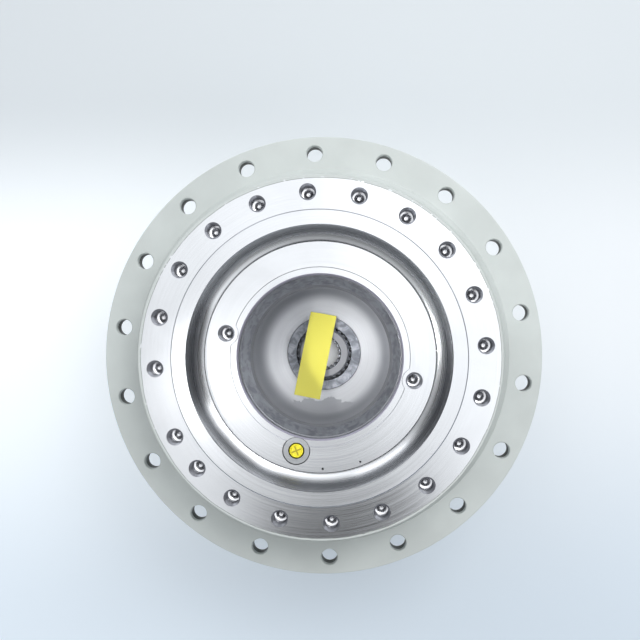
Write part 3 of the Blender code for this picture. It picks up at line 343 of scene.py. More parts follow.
class Corner:
    """A point of a turned outline, with its rounding and the finish of the stretch that follows it.

    A face label lets holes open in that stretch. A swell gives the radius at each angle instead of a circle.
    """

    def __init__(self, radius, height, rounding=0.0, finish=0, face=None, swell=None):
        self.point = Vector((radius, height))
        self.rounding = rounding
        self.finish = finish
        self.face = face
        self.swell = swell


def rounded(rows, steps=3):
    """The corners of a closed outline, with a short arc of points in place of each rounded one."""
    corners = [Corner(*row) for row in rows]
    made = []
    for index, corner in enumerate(corners):
        if corner.rounding <= 0:
            made.append(corner)
            continue
        before = corners[index - 1].point
        after = corners[(index + 1) % len(corners)].point
        here = corner.point
        start = here + (before - here).normalized() * corner.rounding
        end = here + (after - here).normalized() * corner.rounding
        for step in range(steps + 1):
            share = step / steps
            place = start * (1 - share) ** 2 + here * 2 * share * (1 - share) + end * share ** 2
            face = corner.face if step == steps else None
            made.append(Corner(place.x, place.y, 0, corner.finish, face))
    return made


# Rings of (radius, height, finish) round a centre, from a mouth in a flat face to a tip or to a far face
Hole = namedtuple("Hole", "centre rings mouth far_face sides", defaults=(None, HOLE_SEGMENTS))


def polar(radius, angle_deg):
    angle = math.radians(angle_deg)
    return (radius * math.cos(angle), radius * math.sin(angle))


def ring_of_points(radius, count, phase, shifts=None):
    shifts = shifts or {}
    return [polar(radius, phase - 360 * k / count + shifts.get(k, 0.0)) for k in range(count)]


def add_ring(shape, radius, height, sides, centre=(0, 0), swell=None):
    """A ring of points, or one point for every step where the radius is nothing."""
    if radius < ON_AXIS and swell is None:
        return [shape.verts.new((*centre, height))] * sides
    ring = []
    for step in range(sides):
        angle = math.tau * step / sides
        reach = swell(angle) if swell else radius
        x = centre[0] + reach * math.cos(angle)
        y = centre[1] + reach * math.sin(angle)
        ring.append(shape.verts.new((x, y, height)))
    return ring


def add_band(shape, ring, following, finish):
    for step in range(len(ring)):
        after = (step + 1) % len(ring)
        corners = list(dict.fromkeys([ring[step], ring[after], following[after], following[step]]))
        if len(corners) > 2:
            shape.faces.new(corners).material_index = finish


def fill_flat(shape, loops, finish):
    """Fill a flat face between loops of points."""
    edges = []
    for loop in loops:
        for pair in zip(loop, loop[1:] + loop[:1]):
            edges.append(shape.edges.get(pair) or shape.edges.new(pair))
    made = bmesh.ops.triangle_fill(shape, use_beauty=True, edges=edges)
    for item in made["geom"]:
        if isinstance(item, bmesh.types.BMFace):
            item.material_index = finish


def turned(name, rows, holes=(), segments=SEGMENTS, centre=(0, 0), sharp=SHARP_ANGLE):
    """Turn a closed outline round a vertical axis, with holes in the stretches that carry a face label.

    A row holds what a Corner takes: radius, height, rounding, finish, face and swell.
    """
    outline = rounded(rows)
    shape = bmesh.new()
    rings = [add_ring(shape, c.point.x, c.point.y, segments, centre, c.swell) for c in outline]
    flats = {}
    for index, corner in enumerate(outline):
        pair = [rings[index], rings[(index + 1) % len(rings)]]
        if corner.face:
            flats[corner.face] = ([loop for loop in pair if loop[0] is not loop[1]], corner.finish)
        else:
            add_band(shape, *pair, corner.finish)
    for hole in holes:
        hole_rings = []
        for radius, height, _ in hole.rings:
            hole_rings.append(add_ring(shape, radius, height, hole.sides, hole.centre))
        for index in range(len(hole_rings) - 1):
            add_band(shape, hole_rings[index], hole_rings[index + 1], hole.rings[index][2])
        flats[hole.mouth][0].append(hole_rings[0])
        if hole.far_face:
            flats[hole.far_face][0].append(hole_rings[-1])
    for loops, finish in flats.values():
        fill_flat(shape, loops, finish)
    return finish_mesh(name, shape, sharp)


def add_object(name, data):
    made = bpy.data.objects.new(name, data)
    bpy.context.scene.collection.objects.link(made)
    return made


def finish_mesh(name, shape, sharp=SHARP_ANGLE):
    bmesh.ops.recalc_face_normals(shape, faces=shape.faces[:])
    mesh = bpy.data.meshes.new(name)
    shape.to_mesh(mesh)
    shape.free()
    return smooth(add_object(name, mesh), sharp)


def smooth(piece, sharp=SHARP_ANGLE):
    piece.data.shade_smooth()
    piece.data.set_sharp_from_angle(angle=math.radians(sharp))
    weighted = piece.modifiers.new("weighted", "WEIGHTED_NORMAL")
    weighted.keep_sharp = True
    return piece


def raise_loop(shape, loop, foot, top, finish):
    """An upright wall over a loop of X and Y; gives back its lower and its upper edge."""
    edges = [[shape.verts.new((x, y, height)) for x, y in loop] for height in (foot, top)]
    add_band(shape, *edges, finish)
    return edges


def cut(piece, cutter):
    """Cut one solid from another and drop the cutter."""
    for item in (piece, cutter):
        item.modifiers.clear()
    step = piece.modifiers.new("cut", "BOOLEAN")
    step.operation = "DIFFERENCE"
    step.solver = "EXACT"
    step.object = cutter
    graph = bpy.context.evaluated_depsgraph_get()
    mesh = bpy.data.meshes.new_from_object(piece.evaluated_get(graph))
    piece.modifiers.clear()
    piece.data = mesh
    bpy.data.objects.remove(cutter)
    return smooth(piece)


def tapped(face, depth, tip_depth):
    """Rings of a tapped blind hole: a countersunk mouth, thread grooves and a drill point."""
    height = face - (TAP_MOUTH - TAP_RADIUS)
    rings = [(TAP_MOUTH, face, THREAD_AND_SHADE_LINE), (TAP_RADIUS, height, THREAD_AND_SHADE_LINE)]
    while height - THREAD_PITCH > face - depth:
        for share in THREAD_FLAT:
            rings.append((TAP_DRILL, height - THREAD_PITCH * share, THREAD_AND_SHADE_LINE))
        rings.append((TAP_RADIUS, height - THREAD_PITCH, THREAD_AND_SHADE_LINE))
        height -= THREAD_PITCH
    rings.append((TAP_DRILL, height - THREAD_RUN_OUT, THREAD_AND_SHADE_LINE))
    point = face - tip_depth
    for radius, lift in DRILL_POINT:
        rings.append((radius, point + lift, DRILL))
    return rings


# Materials

def new_material(name, colour, metallic, roughness):
    material = bpy.data.materials.new(name)
    material.use_nodes = True
    tree = material.node_tree
    shader = tree.nodes["Principled BSDF"]
    shader.inputs["Base Color"].default_value = (*colour, 1)
    shader.inputs["Metallic"].default_value = metallic
    shader.inputs["Roughness"].default_value = roughness
    return material, tree, shader


def feed(tree, socket, value):
    """Set a socket to a number or a colour, or link it to another socket."""
    if isinstance(value, bpy.types.NodeSocket):
        tree.links.new(value, socket)
    elif isinstance(value, tuple) and len(socket.default_value) == 4:
        socket.default_value = (*value, 1)
    else:
        socket.default_value = value


def set_colour(tree, shader, value):
    feed(tree, shader.inputs["Base Color"], value)


def add_node(tree, kind, *values):
    """A new shader node whose first sockets take the values."""
    made = tree.nodes.new("ShaderNode" + kind)
    for socket, value in zip(made.inputs, values):
        feed(tree, socket, value)
    return made


def calc(tree, operation, first, second=0.0):
    made = add_node(tree, "Math", first, second)
    made.operation = operation
    return made.outputs[0]


def plus(tree, first, second):
    return calc(tree, "ADD", first, second)


def minus(tree, first, second):
    return calc(tree, "SUBTRACT", first, second)


def times(tree, first, second):
    return calc(tree, "MULTIPLY", first, second)


def blend(tree, share, first, second, mode="MIX"):
    made = add_node(tree, "Mix")
    made.data_type = "RGBA"
    made.blend_type = mode
    for index, value in ((0, share), (6, first), (7, second)):
        feed(tree, made.inputs[index], value)
    return made.outputs[2]


def spread(tree, value, low, high, start=0.3, end=0.7):
    """Map a value smoothly from start..end to low..high."""
    made = add_node(tree, "MapRange", value, start, end, low, high)
    made.interpolation_type = "SMOOTHSTEP"
    return made.outputs[0]


def object_space(tree):
    return add_node(tree, "TexCoord").outputs["Object"]


def place(tree):
    """X, Y, height and distance from the drive axis of the shaded point."""
    x, y, z = add_node(tree, "SeparateXYZ", object_space(tree)).outputs
    radius = calc(tree, "SQRT", plus(tree, times(tree, x, x), times(tree, y, y)))
    return x, y, z, radius


def cloud(tree, scale, detail=4.0, vector=None, distortion=0.0):
    made = add_node(tree, "TexNoise")
    for label, value in (("Scale", scale), ("Detail", detail), ("Distortion", distortion)):
        made.inputs[label].default_value = value
    if vector is None:
        vector = object_space(tree)
    tree.links.new(vector, made.inputs["Vector"])
    return made.outputs["Fac"]


def turning_marks(tree, pitch, detail=3.0):
    """Noise that changes quickly across the tool marks and slowly along them."""
    x, y, z, radius = place(tree)
    across = times(tree, plus(tree, radius, z), 1 / pitch)
    joined = add_node(tree, "CombineXYZ", across, times(tree, x, 5.0), times(tree, y, 5.0))
    return cloud(tree, 1.0, detail, joined.outputs[0])


def bump(tree, shader, height, strength, distance=0.0002):
    made = add_node(tree, "Bump")
    made.inputs["Strength"].default_value = strength
    made.inputs["Distance"].default_value = distance
    tree.links.new(height, made.inputs["Height"])
    tree.links.new(made.outputs["Normal"], shader.inputs["Normal"])


def metal(name, colour, roughness, marks, pitch=0.0011, metallic=1.0, anisotropy=0.0, stain=0.08):
    """Turned metal: fine rings, a stretched highlight and faint clouds of stain."""
    material, tree, shader = new_material(name, colour, metallic, roughness[0])
    rings = turning_marks(tree, pitch)
    clouds = cloud(tree, 9.0, 5.0, distortion=0.6)
    dull = tuple(c * (1 - stain) for c in colour)
    tint = blend(tree, spread(tree, clouds, 0.0, 1.0), dull, colour)
    shade = spread(tree, rings, 0.95, 1.0)
    joined = add_node(tree, "CombineColor", shade, shade, shade)
    set_colour(tree, shader, blend(tree, 1.0, tint, joined.outputs[0], "MULTIPLY"))
    feed(tree, shader.inputs["Roughness"], spread(tree, rings, *roughness))
    shader.inputs["Anisotropic"].default_value = anisotropy
    shader.inputs["Anisotropic Rotation"].default_value = 0.25
    if anisotropy:
        tangent = add_node(tree, "Tangent")
        tangent.direction_type = "RADIAL"
        tangent.axis = "Z"
        tree.links.new(tangent.outputs[0], shader.inputs["Tangent"])
    bump(tree, shader, rings, marks)
    return material


def opened(material):
    """The tree and shader of a finished material, and the socket of its colour, to lay more over it."""
    tree = material.node_tree
    shader = tree.nodes["Principled BSDF"]
    return tree, shader, shader.inputs["Base Color"].links[0].from_socket


def paint(name, colour, roughness=0.42, speckle=0.03, peel=0.12, fineness=420.0):
    """Sprayed enamel or moulded plastic: slight orange peel and small changes of shade."""
    material, tree, shader = new_material(name, colour, 0.0, roughness)
    darker = tuple(c * (1 - speckle * 2) for c in colour)
    lighter = tuple(min(1.0, c * (1 + speckle)) for c in colour)
    clouds = spread(tree, cloud(tree, 14.0, 6.0), 0.0, 1.0)
    set_colour(tree, shader, blend(tree, clouds, darker, lighter))
    fine = cloud(tree, fineness, 2.0)
    feed(tree, shader.inputs["Roughness"], spread(tree, fine, roughness - 0.05, roughness + 0.06))
    bump(tree, shader, fine, peel, 0.0004)
    return material


PAINT = (0.57, 0.605, 0.59)
STEEL = (0.75, 0.76, 0.78)


def wander(tree, scale, detail, width, distortion=0.0):
    """Noise about nothing, this wide in all."""
    centred = minus(tree, cloud(tree, scale, detail, distortion=distortion), 0.5)
    return times(tree, centred, width)


def frame_face_metal():
    """The turned frame face, with paint that laps over its outer edge in an uneven line with small chips, and
    a thin line of painted shadow along the paint's inner edge.
    """
    lap, line, chip_reach = 0.0011, 0.0007, 0.0008
    material = metal("frame_face", STEEL, (0.17, 0.21), 0.015, anisotropy=0.45)
    tree, shader, steel = opened(material)
    x, y, _, radius = place(tree)
    upper_left = minus(tree, y, times(tree, x, 0.8))
    side = spread(tree, upper_left, 0.0, lap, -0.05, 0.25)
    edge = minus(tree, PAINT_EDGE, plus(tree, side, wander(tree, 28.0, 6.0, 0.0022)))
    chips = calc(tree, "GREATER_THAN", cloud(tree, 190.0, 3.0), 0.63)
    chips = times(tree, chips, calc(tree, "LESS_THAN", radius, PAINT_EDGE + chip_reach))
    mask = times(tree, calc(tree, "GREATER_THAN", radius, edge), minus(tree, 1.0, chips))
    # Painted shadow: a thin dark line in the paint along its inner edge
    inside = calc(tree, "LESS_THAN", radius, plus(tree, edge, line))
    paint_with_shadow_line = blend(tree, inside, PAINT, (0.27, 0.29, 0.28))
    set_colour(tree, shader, blend(tree, mask, steel, paint_with_shadow_line))
    feed(tree, shader.inputs["Metallic"], minus(tree, 1.0, mask))
    rough = shader.inputs["Roughness"].links[0].from_socket
    feed(tree, shader.inputs["Roughness"], plus(tree, rough, times(tree, mask, 0.15)))
    return material


def bowl_finish():
    """The satin bowl, darkened towards its rim by painted shade, with an oil stain whose uneven edge runs
    across its lower side.
    """
    stain_line, stain_edge = 0.066, 0.0010
    material = metal(
        "bowl_satin", (0.92, 0.93, 0.95), (0.34, 0.40), 0.02, 0.004, metallic=0.60, anisotropy=0.6, stain=0.10
    )
    tree, shader, base = opened(material)
    _, y, _, radius = place(tree)
    downward = plus(tree, times(tree, y, -1.0), wander(tree, 38.0, 5.0, 0.022, 1.2))
    stain = spread(tree, minus(tree, downward, stain_line), 0.0, 0.50, -stain_edge, stain_edge)
    # Painted shade: the bowl darkens towards its rim, where it meets the tunnel wall
    rim = spread(tree, radius, 0.0, 0.80, 0.0740, 0.0895)
    # The real oil stain and the painted shade at the rim share one dark colour
    shade = calc(tree, "MAXIMUM", stain, rim)
    set_colour(tree, shader, blend(tree, shade, base, (0.22, 0.23, 0.255)))
    return material


def polished_cove():
    """The polished hollow: a line of painted shade in the crease at its foot, and painted dark reflection
    where it rises, darkest on its lower side.
    """
    crease_shade_start, crease_shade_end = MOTOR_FACE_RADIUS + 0.0004, MOTOR_FACE_RADIUS + 0.0009
    colour = (0.84, 0.85, 0.87)
    material = metal("polished_cove", colour, (0.26, 0.30), 0.01, pitch=0.0030, anisotropy=0.85)
    tree, shader, base = opened(material)
    _, y, _, radius = place(tree)
    # Painted dark reflection: the rising part of the cove turns darker, most on its lower side
    rise = spread(tree, radius, 0.0, 1.0, 0.1570, 0.1650)
    upper = blend(tree, spread(tree, y, 0.0, 1.0, -0.05, 0.14), (0.34, 0.35, 0.37), (0.68, 0.70, 0.73))
    hollow = blend(tree, rise, base, upper)
    # Painted shade: a dark line in the crease at the cove's foot
    corner = spread(tree, radius, 1.0, 0.0, crease_shade_start, crease_shade_end)
    set_colour(tree, shader, blend(tree, corner, hollow, (0.10, 0.105, 0.115)))
    return material


def grimy_bore():
    """The oiled wall of the bore, mottled with grime."""
    material = metal("oiled_bore", (0.37, 0.385, 0.42), (0.34, 0.46), 0.03, pitch=0.0025, metallic=0.7)
    tree, shader, base = opened(material)
    grime = spread(tree, cloud(tree, 95.0, 6.0, distortion=0.9), 0.0, 0.55, 0.36, 0.68)
    set_colour(tree, shader, blend(tree, grime, base, (0.09, 0.095, 0.11)))
    return material


def disc_finish():
    """The dark guide disc, mottled and scuffed by fitting and by grease."""
    material, tree, shader = new_material("guide_disc", (0.13, 0.14, 0.165), 0.2, 0.5)
    mottle = spread(tree, cloud(tree, 90.0, 6.0, distortion=0.8), 0.0, 1.0, 0.35, 0.72)
    base = blend(tree, mottle, (0.115, 0.124, 0.145), (0.36, 0.375, 0.41))
    stretch = add_node(tree, "Mapping")
    stretch.inputs["Rotation"].default_value = (0, 0, 0.8)
    stretch.inputs["Scale"].default_value = (40.0, 420.0, 1.0)
    tree.links.new(object_space(tree), stretch.inputs["Vector"])
    scuffs = spread(tree, cloud(tree, 1.0, 3.0, stretch.outputs[0]), 0.0, 0.5, 0.60, 0.78)
    set_colour(tree, shader, blend(tree, scuffs, base, (0.45, 0.46, 0.50)))
    feed(tree, shader.inputs["Roughness"], spread(tree, mottle, 0.38, 0.6, 0.0, 1.0))
    bump(tree, shader, mottle, 0.25, 0.0003)
    return material


MATERIALS = {
    "paint": paint("grey_green_paint", PAINT),
    "frame_face": frame_face_metal(),
    "machined": metal("turned_steel", STEEL, (0.23, 0.27), 0.015, anisotropy=0.45),
    "cove": polished_cove(),
    "bore": grimy_bore(),
    "bore_edge": metal("bore_edge", (0.40, 0.385, 0.47), (0.45, 0.52), 0.04, metallic=0.6),
    "ledge": metal("bore_ledge", (0.22, 0.225, 0.24), (0.42, 0.50), 0.04, pitch=0.0016, metallic=0.5),
    "bowl": bowl_finish(),
    # Darker steel of the threads, also laid on chamfers and steps of the spindle as lines of painted shade
    "thread": metal("tapped_thread_and_shade_lines", (0.42, 0.43, 0.47), (0.28, 0.42), 0.1, pitch=0.0009, metallic=0.8),
    "drill": metal("drill_point", (0.94, 0.94, 0.96), (0.18, 0.30), 0.1, pitch=0.0008, metallic=0.9),
    "spot_face": metal("spot_face", (0.37, 0.38, 0.39), (0.30, 0.40), 0.05, pitch=0.0008, metallic=0.9),
    # Nearly black walls deep in the flange's through holes: painted shade
    "hole_wall_painted_shade": metal("hole_wall_painted_shade", (0.10, 0.10, 0.09), (0.45, 0.60), 0.05, pitch=0.0016, metallic=0.2),
    "disc": disc_finish(),
    "sleeve": metal("sleeve_steel", (0.22, 0.222, 0.235), (0.38, 0.48), 0.05, pitch=0.0012, metallic=0.7),
    "shaft": metal("shaft_end", (0.85, 0.85, 0.85), (0.38, 0.46), 0.05, pitch=0.0012, metallic=0.4),
    "dark_gear": metal("dark_steel", (0.10, 0.105, 0.115), (0.35, 0.5), 0.2),
    "gear": metal("cut_gear_steel", (0.52, 0.53, 0.55), (0.25, 0.38), 0.15, pitch=0.0014),
    "ground": metal("ground_steel", (0.66, 0.67, 0.69), (0.10, 0.18), 0.08, pitch=0.0008, anisotropy=0.3),
    "bronze": metal("turned_bronze", (0.58, 0.36, 0.15), (0.28, 0.4), 0.2, pitch=0.0012, anisotropy=0.3),
    "rubber": paint("black_rubber", (0.025, 0.025, 0.026), 0.75, speckle=0.1, peel=0.2),
    "zinc": metal("zinc_plate", (0.62, 0.62, 0.60), (0.30, 0.44), 0.15, pitch=0.002),
    "yellow": paint("yellow_plastic", (0.72, 0.63, 0.02), 0.40, speckle=0.05, peel=0.04),
    # Darker yellow for the plug's moulded cross: painted shade
    "yellow_painted_shade": paint("yellow_groove_painted_shade", (0.33, 0.27, 0.005), 0.50, speckle=0.05, peel=0.04),
    "tag": paint("yellow_tag", (0.63, 0.58, 0.075), 0.55, speckle=0.01, peel=0.04, fineness=700.0),
    # Nearly black: painted shade in the punch marks, the port and the spot face's slanted wall
    "pit_painted_shade": paint("punch_mark_painted_shade", (0.01, 0.01, 0.012), 0.7, speckle=0.0, peel=0.0),
}

# Finishes of the nodes that keep their own mesh, by a word in their names
INNER_FINISHES = {
    "seal_toric": "rubber", "bush": "bronze", "pin": "ground", "race": "ground", "rollers": "ground",
    "seal_ring": "ground", "thrust_button": "ground", "first_sun_shaft": "shaft", "bearing_nut": "dark_gear",
    "carrier": "gear", "planet": "gear", "second_sun": "gear",
}


def dress(piece, finishes, body, slot, *nodes):
    """Give a piece its finishes, its body and the nodes that it stands for; its slot is not used."""
    for finish in finishes:
        piece.data.materials.append(MATERIALS[finish])
    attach(piece, body)
    if nodes:
        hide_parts(*nodes)
    return piece


# The spindle

SPINDLE_FINISHES = (
    "machined", "frame_face", "paint", "cove", "bore", "bowl",
    "thread", "drill", "bore_edge", "pit_painted_shade", "ledge", "spot_face"
)
STEEL_FACE, FRAME_STEEL, PAINTED, COVE, BORE, BOWL, THREAD_AND_SHADE_LINE, DRILL, BORE_EDGE, PIT_PAINTED_SHADE, LEDGE, SPOT = range(12)


def land_radius(angle):
    """Edge of the shallow land round the bore, which the bosses of the two motor taps interrupt."""
    reach = LAND_RADIUS
    for tap in MOTOR_TAP_ANGLES:
        turn = angle - math.radians(tap)
        across = MOTOR_TAP_CIRCLE * math.sin(turn)
        if math.cos(turn) > 0 and abs(across) < MOTOR_TAP_BOSS:
            along = MOTOR_TAP_CIRCLE * math.cos(turn) - math.sqrt(MOTOR_TAP_BOSS ** 2 - across ** 2)
            reach = min(reach, along)
    return reach


def toothed(teeth, low, high, tooth_share=0.5, side=0.12):
    """A radius that rises and falls with straight sided teeth."""
    def reach(angle):
        turn = abs((angle * teeth / math.tau + 0.5) % 1.0 - 0.5) * 2
        slope = (tooth_share + side - turn) / (2 * side)
        return low + (high - low) * min(1.0, max(0.0, slope))
    return reach


def cove_corners():
    """The polished hollow between the motor face and the rim, steeper and steeper up to an upright wall."""
    step_width = (RIM_BORE - MOTOR_FACE_RADIUS) / COVE_STEPS
    radius = MOTOR_FACE_RADIUS
    height = COVE_FOOT
    corners = [(radius, height, 0, COVE)]
    for step in range(COVE_STEPS):
        share = (step + 0.5) / COVE_STEPS
        slope = math.radians(COVE_SLOPE + COVE_RISE * share ** COVE_BEND)
        radius += step_width
        height += step_width * math.tan(slope)
        corners.append((radius, height, 0, COVE))
    corners.append((RIM_BORE, RIM_TOP - RIM_CHAMFER_HEIGHT, 0, COVE))
    return corners


def bowl_corners():
    """The bowl, a parabola from the guide disc up to the upright wall of the tunnel."""
    width = TUNNEL_RADIUS - BOWL_FLOOR_RADIUS
    corners = []
    for step in range(BOWL_STEPS + 1):
        rise = step / BOWL_STEPS
        radius = TUNNEL_RADIUS - width * (1 - rise) ** 2
        corners.append((radius, BOWL_FOOT + BOWL_DEPTH * rise, 0, BOWL))
    return corners


def spindle_corners():
    """The spindle's outline: down its outside, up through bowl and bore, over the motor face and the cove."""
    spline = toothed(SPLINE_TEETH, SPLINE_ROOT, SPLINE_RADIUS)
    outside = [
        # Painted shade lines: the pilot's top chamfer and the undercut at its foot take the darker thread
        # steel
        (PILOT_RADIUS - PILOT_CHAMFER, RIM_TOP, 0, THREAD_AND_SHADE_LINE),
        (PILOT_RADIUS, RIM_TOP - PILOT_CHAMFER, 0, STEEL_FACE),
        (PILOT_RADIUS, FRAME_FACE + PILOT_UNDERCUT_HEIGHT, 0, THREAD_AND_SHADE_LINE),
        (PILOT_RADIUS - PILOT_UNDERCUT_DEPTH, FRAME_FACE, 0, FRAME_STEEL, "frame"),
        (FRAME_RADIUS, FRAME_FACE, FRAME_FACE_EDGE, PAINTED),
        (FRAME_RADIUS, FRAME_FOOT, FRAME_FOOT_EDGE, PAINTED),
        (SEAL_GROOVE_RADIUS, FRAME_FOOT, 0, STEEL_FACE),
        (SEAL_GROOVE_RADIUS, SEAL_GROOVE_TOP, 0, STEEL_FACE),
        (SEAL_NECK_RADIUS, SEAL_GROOVE_TOP, 0, STEEL_FACE),
        (SEAL_NECK_RADIUS, BEARING_SEAT_TOP, 0, STEEL_FACE),
        (BEARING_SEAT_RADIUS, BEARING_SEAT_TOP, 0, STEEL_FACE),
        (BEARING_SEAT_RADIUS, NUT_THREAD_TOP, 0, THREAD_AND_SHADE_LINE),
        (NUT_THREAD_RADIUS, NUT_THREAD_TOP, 0, THREAD_AND_SHADE_LINE),
        (NUT_THREAD_RADIUS, NUT_THREAD_FOOT, 0, THREAD_AND_SHADE_LINE),
        (SPLINE_RADIUS, NUT_THREAD_FOOT, 0, THREAD_AND_SHADE_LINE, None, spline),
        (SPLINE_RADIUS, SPINDLE_LOW.z, 0, STEEL_FACE, None, spline),
        (SHAFT_HOLE_RADIUS, SPINDLE_LOW.z, 0, BORE),
        (SHAFT_HOLE_RADIUS, GUIDE_SEAT, 0, BORE),
        (BOWL_FLOOR_RADIUS, GUIDE_SEAT, 0, BORE),
    ]
    bore = [
        (TUNNEL_RADIUS, LEDGE_FOOT, SMALL_EDGE, LEDGE),
        (LEDGE_RADIUS, LEDGE_TOP, SMALL_EDGE, BORE),
        (SHELF_RADIUS, SHELF_FOOT, 0, LEDGE),
        (BORE_RADIUS, SHELF_TOP, 0, BORE),
        (BORE_RADIUS, BORE_MOUTH_FOOT, 0, BORE_EDGE),
        (BORE_MOUTH_RADIUS, LAND_FACE, 0, STEEL_FACE),
        # Painted shade line: the land's step takes the darker thread steel
        (LAND_RADIUS, LAND_FACE, 0, THREAD_AND_SHADE_LINE, None, land_radius),
        (LAND_RADIUS, MOTOR_FACE, 0, STEEL_FACE, "motor", lambda angle: land_radius(angle) + LAND_EDGE),
        (MOTOR_FACE_RADIUS - SMALL_EDGE, MOTOR_FACE, 0, COVE),
        (MOTOR_FACE_RADIUS, MOTOR_FACE - SMALL_EDGE, 0, COVE),
    ]
    rim = [(RIM_BORE + RIM_CHAMFER_WIDTH, RIM_TOP, 0, STEEL_FACE)]
    return outside + bowl_corners() + bore + cove_corners() + rim


def make_port(spindle):
    """Cut the port's spot face and its hole."""
    above = MOTOR_FACE + CUT_OVERSHOOT
    mouth = PORT_SPOT_RADIUS + PORT_SPOT_SLANT
    floor = SPOT_FACE - PORT_DEPTH
    corners = [
        (0, above, 0, SPOT),
        (mouth, above, 0, SPOT),
        # Painted shade: the spot face's slanted wall and the port's wall and floor are nearly black
        (mouth, MOTOR_FACE + CUT_MARGIN, 0, PIT_PAINTED_SHADE),
        (PORT_SPOT_RADIUS, SPOT_FACE, 0, SPOT),
        (PORT_RADIUS + PORT_EDGE_WIDTH, SPOT_FACE, 0, THREAD_AND_SHADE_LINE),
        (PORT_RADIUS, SPOT_FACE - SMALL_EDGE, 0, PIT_PAINTED_SHADE),
        (PORT_RADIUS, floor, 0, PIT_PAINTED_SHADE),
        (0, floor, 0, PIT_PAINTED_SHADE),
    ]
    centre = polar(MOTOR_TAP_CIRCLE, PORT_ANGLE)
    cutter = turned("port_cutter", corners, segments=SMALL_SEGMENTS, centre=centre)
    for finish in SPINDLE_FINISHES:
        cutter.data.materials.append(MATERIALS[finish])
    cut(spindle, cutter)


def make_spindle():
    frame_tap = tapped(FRAME_FACE, FRAME_THREAD_DEPTH, FRAME_DRILL_DEPTH)
    motor_tap = tapped(MOTOR_FACE, MOTOR_THREAD_DEPTH, MOTOR_DRILL_DEPTH)
    # Punch marks, nearly black with painted shade
    punch = [(PUNCH_RADIUS, MOTOR_FACE, PIT_PAINTED_SHADE), (0, MOTOR_FACE - PUNCH_DEPTH, PIT_PAINTED_SHADE)]
    centres = ring_of_points(FRAME_HOLE_CIRCLE, FRAME_HOLE_COUNT, FRAME_HOLE_PHASE, FRAME_HOLE_SHIFTS)
    holes = [Hole(centre, frame_tap, "frame") for centre in centres]
    holes += [Hole(polar(MOTOR_TAP_CIRCLE, angle), motor_tap, "motor") for angle in MOTOR_TAP_ANGLES]
    holes += [Hole(centre, punch, "motor", sides=PUNCH_SEGMENTS) for centre in PUNCH_MARKS]
    spindle = turned("spindle_body", spindle_corners(), holes)
    dress(spindle, SPINDLE_FINISHES, "spindle", "machined_spindle", "spindle")
    make_port(spindle)


# The hub side

HUB_FINISHES = ("paint", "machined", "thread", "hole_wall_painted_shade")
COAT, BARE, TAPPED, WALL_PAINTED_SHADE = range(4)


def make_hub():
    """The turning housing: seal collar, sprocket flange and barrel."""
    corners = [
        (SEAL_GROOVE_RADIUS, HUB_HIGH.z, BARREL_EDGE),
        (COLLAR_TOP_RADIUS, HUB_HIGH.z, COLLAR_EDGE),
        (COLLAR_FOOT_RADIUS, COLLAR_FOOT, COLLAR_FILLET),
        (FILLET_RADIUS - FILLET_RUN, FLANGE_FACE + FILLET_RISE),
        (FILLET_RADIUS, FLANGE_FACE, 0, COAT, "front"),
        (FLANGE_RADIUS, FLANGE_FACE, FLANGE_EDGE),
        (FLANGE_RADIUS, FLANGE_SEAT, FLANGE_EDGE, COAT, "seat"),
        (SPIGOT_RADIUS, FLANGE_SEAT, SMALL_EDGE, BARE),
        (SPIGOT_RADIUS, SPIGOT_FOOT, SPIGOT_FILLET),
        (BARREL_RADIUS, SPIGOT_FOOT, BARREL_EDGE),
        (BARREL_RADIUS, HUB_LOW.z, FLANGE_EDGE, BARE, "foot"),
        (RACE_SEAT_RADIUS, HUB_LOW.z, 0, BARE),
        (RACE_SEAT_RADIUS, SHOULDER_FOOT, 0, BARE),
        (SHOULDER_RADIUS, SHOULDER_FOOT, 0, BARE),
        (SHOULDER_RADIUS, SHOULDER_TOP, 0, BARE),
        (RACE_SEAT_RADIUS, SHOULDER_TOP, 0, BARE),
        (RACE_SEAT_RADIUS, SEAL_SEAT, 0, BARE),
        (SEAL_GROOVE_RADIUS, SEAL_SEAT, 0, BARE),
    ]
    mouth = FLANGE_HOLE_RADIUS + FLANGE_HOLE_CHAMFER
    through = [
        (mouth, FLANGE_FACE, COAT),
        (FLANGE_HOLE_RADIUS, FLANGE_FACE - FLANGE_HOLE_CHAMFER, COAT),
        # Painted shade: under the paint the through holes' walls are nearly black
        (FLANGE_HOLE_RADIUS, FLANGE_FACE - FLANGE_HOLE_PAINT, WALL_PAINTED_SHADE),
        (FLANGE_HOLE_RADIUS, FLANGE_SEAT + FLANGE_HOLE_CHAMFER, COAT),
        (mouth, FLANGE_SEAT, COAT),
    ]
    tip = HUB_LOW.z + COVER_BOLT_HOLE_DEPTH
    blind = [(COVER_BOLT_HOLE, HUB_LOW.z, TAPPED), (COVER_BOLT_HOLE, tip, TAPPED), (0, tip, TAPPED)]
    centres = ring_of_points(FLANGE_HOLE_CIRCLE, FLANGE_HOLE_COUNT, FLANGE_HOLE_PHASE)
    holes = [Hole(centre, through, "front", "seat") for centre in centres]
    holes += [Hole(centre, blind, "foot", sides=BOLT_HOLE_SEGMENTS) for centre in cover_bolt_centres()]
    hub = turned("hub_body", corners, holes)
    dress(hub, HUB_FINISHES, "hub", "grey_paint", "hub")


def cover_bolt_centres():
    return ring_of_points(COVER_BOLT_CIRCLE, COVER_BOLT_COUNT, COVER_BOLT_PHASE)


